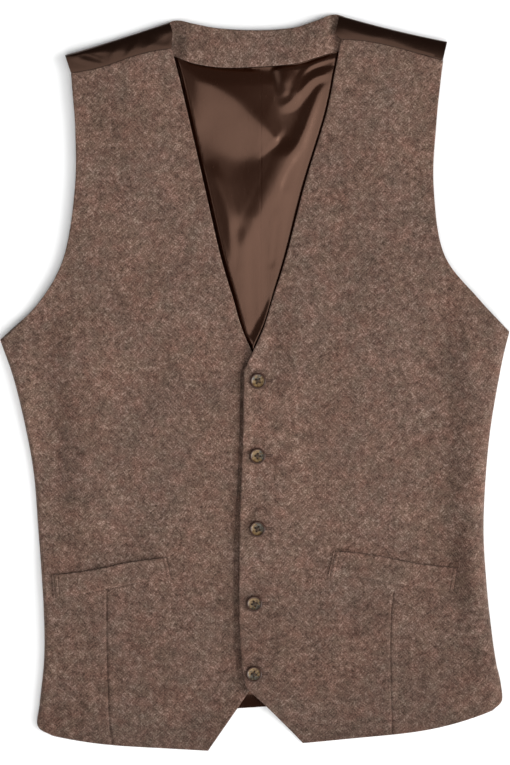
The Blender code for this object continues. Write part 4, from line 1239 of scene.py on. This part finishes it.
def ramp(tree, factor, low, high):
    """0 below low, 1 above high and a soft step between them."""
    return add_node(tree, "ShaderNodeMapRange",
                    {"Value": factor, "From Min": low, "From Max": high},
                    interpolation_type="SMOOTHSTEP").outputs[0]


def opaque(color, factor=1.0):
    """A colour, darkened or lightened, for a colour socket."""
    return (*[value * factor for value in color[:3]], 1.0)


def twill_lines(tree, coordinates, pitch, across):
    """Fine slanting lines, as a sine from -1 to 1."""
    turns = 2.0 * math.pi / pitch / math.sqrt(2.0)
    return math_node(tree, "SINE", vector_node(tree, "DOT_PRODUCT", coordinates,
                                               (across * turns, turns, turns)))


def tweed_material(settings):
    """Wool tweed: two-way twill, uneven yarn, pale and dark flecks, grey and reddish clouds, and painted
    shade towards the hem.
    """
    material, tree, shader = new_material("brown_tweed")
    plain = millimetres(tree)
    wobble = add_node(tree, "ShaderNodeTexNoise",
                      {"Vector": plain, "Scale": 0.16, "Detail": 1.0}).outputs["Color"]
    woven = vector_node(tree, "ADD", plain, vector_node(tree, "MULTIPLY", wobble, (2.6, 2.6, 2.6)))
    pitch = settings.twill_pitch / MM
    turn = ramp(tree, noise_node(tree, plain, 7.0), 0.42, 0.58)
    one = math_node(tree, "MULTIPLY", twill_lines(tree, woven, pitch, 1.0), turn)
    other = math_node(tree, "MULTIPLY", twill_lines(tree, woven, pitch, -1.0),
                      math_node(tree, "SUBTRACT", 1.0, turn))
    lines = math_node(tree, "ADD", one, other)
    yarn = noise_node(tree, plain, 1.15, 2.0, 0.7)
    slub = noise_node(tree, plain, 4.0, 1.0)
    tone = math_node(tree, "MULTIPLY_ADD", lines, 0.08, 0.5)
    tone = math_node(tree, "ADD", tone, math_node(tree, "MULTIPLY_ADD", yarn, 1.4, -0.7))
    tone = math_node(tree, "ADD", tone, math_node(tree, "MULTIPLY_ADD", slub, 0.72, -0.36))
    color = mix_colors(tree, ramp(tree, tone, 0.5, 0.12), opaque(settings.body),
                       opaque(settings.dark))
    color = mix_colors(tree, ramp(tree, tone, 0.5, 0.9), color, opaque(settings.pale))

    cloud = noise_node(tree, plain, settings.cloud_size / MM, 3.0, 0.6)
    color = mix_colors(tree, ramp(tree, cloud, 0.5, 0.34), color, GREY_CLOUD, "MULTIPLY")
    color = mix_colors(tree, ramp(tree, cloud, 0.5, 0.66), color, RED_CLOUD, "MULTIPLY")
    moved = vector_node(tree, "ADD", plain, (61.0, 17.0, 5.0))
    broad = noise_node(tree, moved, 42.0, 1.0)
    color = mix_colors(tree, ramp(tree, broad, 0.35, 0.65), color, BROAD_CLOUD, "MULTIPLY")

    uneven = noise_node(tree, moved, 9.0, 4.0, 0.62)
    washed = noise_node(tree, moved, 60.0, 1.0)
    shade = math_node(tree, "MULTIPLY", math_node(tree, "MULTIPLY_ADD", uneven, 1.34, 0.33),
                      math_node(tree, "MULTIPLY_ADD", washed, 0.34, 0.83))
    up = add_node(tree, "ShaderNodeSeparateXYZ", {0: plain}).outputs[1]
    # Painted shade: the tweed grows darker towards the hem.
    hem_shade = 1.0
    for above, below, darkening in HEM_PAINTED_SHADE:
        hem_shade = math_node(tree, "MULTIPLY_ADD", ramp(tree, up, above, below), -darkening, hem_shade)
    shade = math_node(tree, "MULTIPLY", shade, hem_shade)
    grey = add_node(tree, "ShaderNodeCombineColor", {0: shade, 1: shade, 2: shade})
    color = mix_colors(tree, 1.0, color, grey.outputs[0], "MULTIPLY")
    fill_sockets(tree, shader.inputs, {
        "Base Color": color, "Normal": bump_node(tree, 0.55, 0.0003, tone), "Roughness": 0.92,
        "Specular IOR Level": 0.12, "Sheen Weight": 0.1, "Sheen Roughness": 0.5,
        "Sheen Tint": (0.9, 0.78, 0.7, 1.0)})
    return material


def satin_material(name, color, settings, specular):
    """Satin: a dark body under a tinted shine, with faint lines of the weave."""
    material, tree, shader = new_material(name)
    mottle = noise_node(tree, millimetres(tree), 30.0, 2.0)
    float_lines = noise_node(tree, millimetres(tree, (1.0, 0.06, 1.0)), 0.8, 2.0)
    body = mix_colors(tree, math_node(tree, "MULTIPLY_ADD", mottle, 0.5, 0.75),
                      opaque(color, 0.8), opaque(color, 1.2))
    rough = math_node(tree, "MULTIPLY_ADD", float_lines, 0.1, settings.roughness - 0.05)
    fill_sockets(tree, shader.inputs, {
        "Base Color": body, "Roughness": rough, "Normal": bump_node(tree, 0.12, 0.0001, float_lines),
        "IOR": 1.5, "Specular IOR Level": specular, "Specular Tint": opaque(settings.gloss)})
    return material


def horn_material(place, settings):
    """Horn: amber on one side, grey-green on the other, cloudy between, with painted shade in its dished
    middle and a dark rim.
    """
    material, tree, shader = new_material(f"{place.name}_horn")
    plain = millimetres(tree)
    moved = vector_node(tree, "ADD", plain, (3.7 * place.x, 0.9 * place.y, 0.0))
    angle = math.radians(place.amber_angle)
    side = vector_node(tree, "DOT_PRODUCT", plain, (math.cos(angle) / BUTTON_RADIUS,
                                                    math.sin(angle) / BUTTON_RADIUS, 0.0))
    streaks = noise_node(tree, moved, 2.6, 3.0, 0.6)
    blend = math_node(tree, "MULTIPLY_ADD", streaks, 3.2, -1.6 + place.shade)
    blend = math_node(tree, "ADD", side, blend)
    color = mix_colors(tree, ramp(tree, blend, -0.65, -0.1), opaque(settings.grey),
                       opaque(settings.amber))
    dusk = ramp(tree, noise_node(tree, moved, 2.0, 3.0, 0.6), 0.56 - 0.3 * place.shade, 0.4)
    color = mix_colors(tree, math_node(tree, "MULTIPLY", dusk, 0.85), color, HORN_DUSK, "MULTIPLY")
    radius = vector_node(tree, "LENGTH", vector_node(tree, "MULTIPLY", plain, (1.0, 1.0, 0.0)))
    # Painted shade: the dished middle darkens round the thread holes.
    centre_shade = math_node(tree, "MULTIPLY", ramp(tree, radius, 3.0, 1.4), 0.75)
    color = mix_colors(tree, centre_shade, color, HORN_CENTRE_SHADE, "MULTIPLY")
    color = mix_colors(tree, ramp(tree, radius, 5.3, 6.2), color, opaque(settings.rim))
    fill_sockets(tree, shader.inputs, {"Base Color": color, "Roughness": 0.3,
                                       "Specular IOR Level": 0.28})
    return material


def thread_material(name, color):
    """Twisted sewing thread."""
    material, tree, shader = new_material(name)
    twist = noise_node(tree, millimetres(tree), 0.35, 1.0)
    shade = mix_colors(tree, twist, opaque(color, 0.6), opaque(color, 1.4))
    fill_sockets(tree, shader.inputs, {"Base Color": shade, "Roughness": 0.7})
    return material


def floor_material(color):
    """Pale matt floor with the faintest grain."""
    material, tree, shader = new_material("pale_floor")
    grain = noise_node(tree, millimetres(tree), 180.0, 2.0)
    shade = mix_colors(tree, grain, opaque(color, 0.985), opaque(color))
    fill_sockets(tree, shader.inputs, {"Base Color": shade, "Roughness": 0.9,
                                       "Specular IOR Level": 0.1})
    return material


def shared_material(name, make, *given):
    """The material of a name, made once."""
    return bpy.data.materials.get(name) or make(*given)


def shared_tweed(context):
    """The one tweed of the fronts, the welts and the neck band."""
    return shared_material("brown_tweed", tweed_material, context.scene.waistcoat_tweed)


def shared_thread(name, color):
    """A thread of a name and a colour, made once."""
    return shared_material(name, thread_material, name, color)


# Operators

class WAISTCOAT_OT_stage(bpy.types.Operator):
    """Lay out the floor, the soft light and the camera above"""
    bl_idname = "waistcoat.stage"
    bl_label = "Stage"

    def execute(self, context):
        settings = context.scene.waistcoat_stage
        link = context.scene.collection.objects.link
        mesh = bpy.data.meshes.new("floor")
        mesh.from_pydata([(x * FLOOR_HALF, y * FLOOR_HALF, FLOOR_Z)
                          for x, y in ((-1, -1), (1, -1), (1, 1), (-1, 1))], [], [(0, 1, 2, 3)])
        mesh.materials.append(floor_material(settings.floor))
        floor = bpy.data.objects.new("floor", mesh)
        link(floor)

        for name, power, spread, direction in (
                ("key", settings.key_power, 100.0, (0.34, -0.84, 0.9)),
                ("side", settings.side_power, 44.0, (0.9, -0.1, 0.42)),
                ("fill", settings.fill_power, 44.0, (-0.9, 0.15, 0.4))):
            light = bpy.data.lights.new(name, "SUN")
            light.energy = power
            light.angle = math.radians(spread)
            lamp = bpy.data.objects.new(name, light)
            lamp.rotation_euler = Vector(direction).to_track_quat("Z", "Y").to_euler()
            link(lamp)

        world = bpy.data.worlds.new("studio")
        world.use_nodes = True
        sky = world.node_tree.nodes["Background"]
        sky.inputs["Color"].default_value = (1.0, 1.0, 1.0, 1.0)
        sky.inputs["Strength"].default_value = settings.ambient
        context.scene.world = world

        camera_data = bpy.data.cameras.new("camera")
        camera_data.lens = settings.lens
        camera = bpy.data.objects.new("camera", camera_data)
        distance = settings.lens / camera_data.sensor_width * FRAME_LENGTH
        camera.location = (*CAMERA_CENTRE, distance + FRAME_Z)
        link(camera)
        context.scene.camera = camera
        context.scene.view_settings.view_transform = "Standard"
        return {"FINISHED"}


class WAISTCOAT_OT_fronts(bpy.types.Operator):
    """Make the two tweed fronts with their darts and side troughs"""
    bl_idname = "waistcoat.fronts"
    bl_label = "Fronts"

    def execute(self, context):
        tweed = shared_tweed(context)
        for shape, flat, area, below in (
                (RIGHT_FRONT, (0.262, 0.668), 0.134, ("lining_right", "back_right")),
                (LEFT_FRONT, (0.262, 0.668), 0.142, ("lining_left", "front_right"))):
            name = f"front_{shape.side}"
            piece = add_piece(f"{name}_cloth", wall_mesh(name, *front_wall(shape)), tweed,
                              (name,))
        return {"FINISHED"}


class WAISTCOAT_OT_back(bpy.types.Operator):
    """Make the satin back, which runs over the shoulder folds to the forward seams"""
    bl_idname = "waistcoat.back"
    bl_label = "Back"

    def execute(self, context):
        settings = context.scene.waistcoat_satin
        satin = shared_material("back_satin", satin_material, "back_satin", settings.back,
                                settings, BACK_SHINE)
        for rows, shape in ((RIGHT_BACK_ROWS, RIGHT_FRONT), (LEFT_BACK_ROWS, LEFT_FRONT)):
            name = f"back_{shape.side}"
            piece = add_piece(f"{name}_satin", wall_mesh(name, *back_wall(rows, shape)), satin,
                              (name,))
        return {"FINISHED"}


class WAISTCOAT_OT_lining(bpy.types.Operator):
    """Make the loose satin lining that shows in the V and at the hem"""
    bl_idname = "waistcoat.lining"
    bl_label = "Lining"

    def execute(self, context):
        settings = context.scene.waistcoat_satin
        satin = shared_material("lining_satin", satin_material, "lining_satin",
                                settings.lining, settings, LINING_SHINE)
        for rows, shape in ((RIGHT_LINING_ROWS, RIGHT_FRONT), (LEFT_LINING_ROWS, LEFT_FRONT)):
            name = f"lining_{shape.side}"
            wall = lining_wall(rows, shape.rows)
            piece = add_piece(f"{name}_satin", wall_mesh(name, *wall), satin, (name,))
        return {"FINISHED"}


class WAISTCOAT_OT_neck_band(bpy.types.Operator):
    """Make the tweed band inside the back neck"""
    bl_idname = "waistcoat.neck_band"
    bl_label = "Neck band"

    def execute(self, context):
        piece = add_piece("neck_band_cloth", wall_mesh("neck_band", *band_wall()),
                          shared_tweed(context), ("neck_band",))
        return {"FINISHED"}


class WAISTCOAT_OT_welts(bpy.types.Operator):
    """Make the two pocket welts and the stitches across their ends"""
    bl_idname = "waistcoat.welts"
    bl_label = "Pocket welts"

    def execute(self, context):
        tweed = shared_tweed(context)
        yarn = shared_thread("brown_thread", WELT_THREAD_COLOR)
        for corners, shape in ((RIGHT_WELT, RIGHT_FRONT), (LEFT_WELT, LEFT_FRONT)):
            name = f"welt_{shape.side}"
            outer, inner = welt_wall(corners, surface_of(front_wall(shape)[0]))
            piece = add_piece(f"{name}_cloth", wall_mesh(name, outer, inner), tweed,
                              (name,))
            stitches = welt_stitches(corners, outer, f"{name}_stitches")
            add_piece(f"{name}_stitches", stitches, yarn)
        return {"FINISHED"}


class WAISTCOAT_OT_buttons(bpy.types.Operator):
    """Make the five horn buttons, their thread and their buttonholes"""
    bl_idname = "waistcoat.buttons"
    bl_label = "Buttons and buttonholes"

    def execute(self, context):
        settings = context.scene.waistcoat_horn
        button_yarn = shared_thread("dark_thread", BUTTON_THREAD_COLOR)
        buttonhole_yarn = shared_thread("reddish_thread", BUTTONHOLE_THREAD_COLOR)
        surface = surface_of(front_wall(LEFT_FRONT)[0])
        blank = button_mesh()
        for place in BUTTON_PLACES:
            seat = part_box(place.name)[0][2]
            turned = blank.copy()
            turned.name = place.name
            turned.transform(Matrix.Rotation(math.radians(place.turn), 4, "Z"))
            button = add_piece(f"{place.name}_horn", turned, horn_material(place, settings),
                               (place.name,))
            thread = add_piece(f"{place.name}_thread", thread_mesh(place.turn), button_yarn)
            button.location = thread.location = (place.x * MM, place.y * MM, seat)
            add_piece(f"{place.name}_buttonhole", buttonhole_mesh(place, surface),
                      buttonhole_yarn)
        return {"FINISHED"}


class WAISTCOAT_PT_panel(bpy.types.Panel):
    """Colours, sizes and steps of the waistcoat's finish"""
    bl_idname = "WAISTCOAT_PT_panel"
    bl_label = "Waistcoat"
    bl_space_type = "VIEW_3D"
    bl_region_type = "UI"
    bl_category = "Waistcoat"

    def draw(self, context):
        layout = self.layout
        for group in (context.scene.waistcoat_tweed, context.scene.waistcoat_satin,
                      context.scene.waistcoat_horn, context.scene.waistcoat_stage):
            box = layout.box()
            for name in group.__annotations__:
                box.prop(group, name)
        for operator in OPERATORS:
            layout.operator(operator.bl_idname)


OPERATORS = (
    WAISTCOAT_OT_stage, WAISTCOAT_OT_fronts, WAISTCOAT_OT_back, WAISTCOAT_OT_lining,
    WAISTCOAT_OT_neck_band, WAISTCOAT_OT_welts, WAISTCOAT_OT_buttons,
)
GROUPS = (
    ("waistcoat_tweed", WaistcoatTweed), ("waistcoat_satin", WaistcoatSatin),
    ("waistcoat_horn", WaistcoatHorn), ("waistcoat_stage", WaistcoatStage),
)


def register():
    """Adds the settings, the steps and the panel."""
    for name, group in GROUPS:
        bpy.utils.register_class(group)
        setattr(bpy.types.Scene, name, PointerProperty(type=group))
    for made in OPERATORS + (WAISTCOAT_PT_panel,):
        bpy.utils.register_class(made)


def unregister():
    """Takes them all away again."""
    for made in (WAISTCOAT_PT_panel,) + OPERATORS[::-1]:
        bpy.utils.unregister_class(made)
    for name, group in GROUPS[::-1]:
        delattr(bpy.types.Scene, name)
        bpy.utils.unregister_class(group)


def main():
    """Makes the stage and every piece."""
    register()
    bpy.ops.waistcoat.stage()
    bpy.ops.waistcoat.fronts()
    bpy.ops.waistcoat.back()
    bpy.ops.waistcoat.lining()
    bpy.ops.waistcoat.neck_band()
    bpy.ops.waistcoat.welts()
    bpy.ops.waistcoat.buttons()


if __name__ == "__main__":
    main()
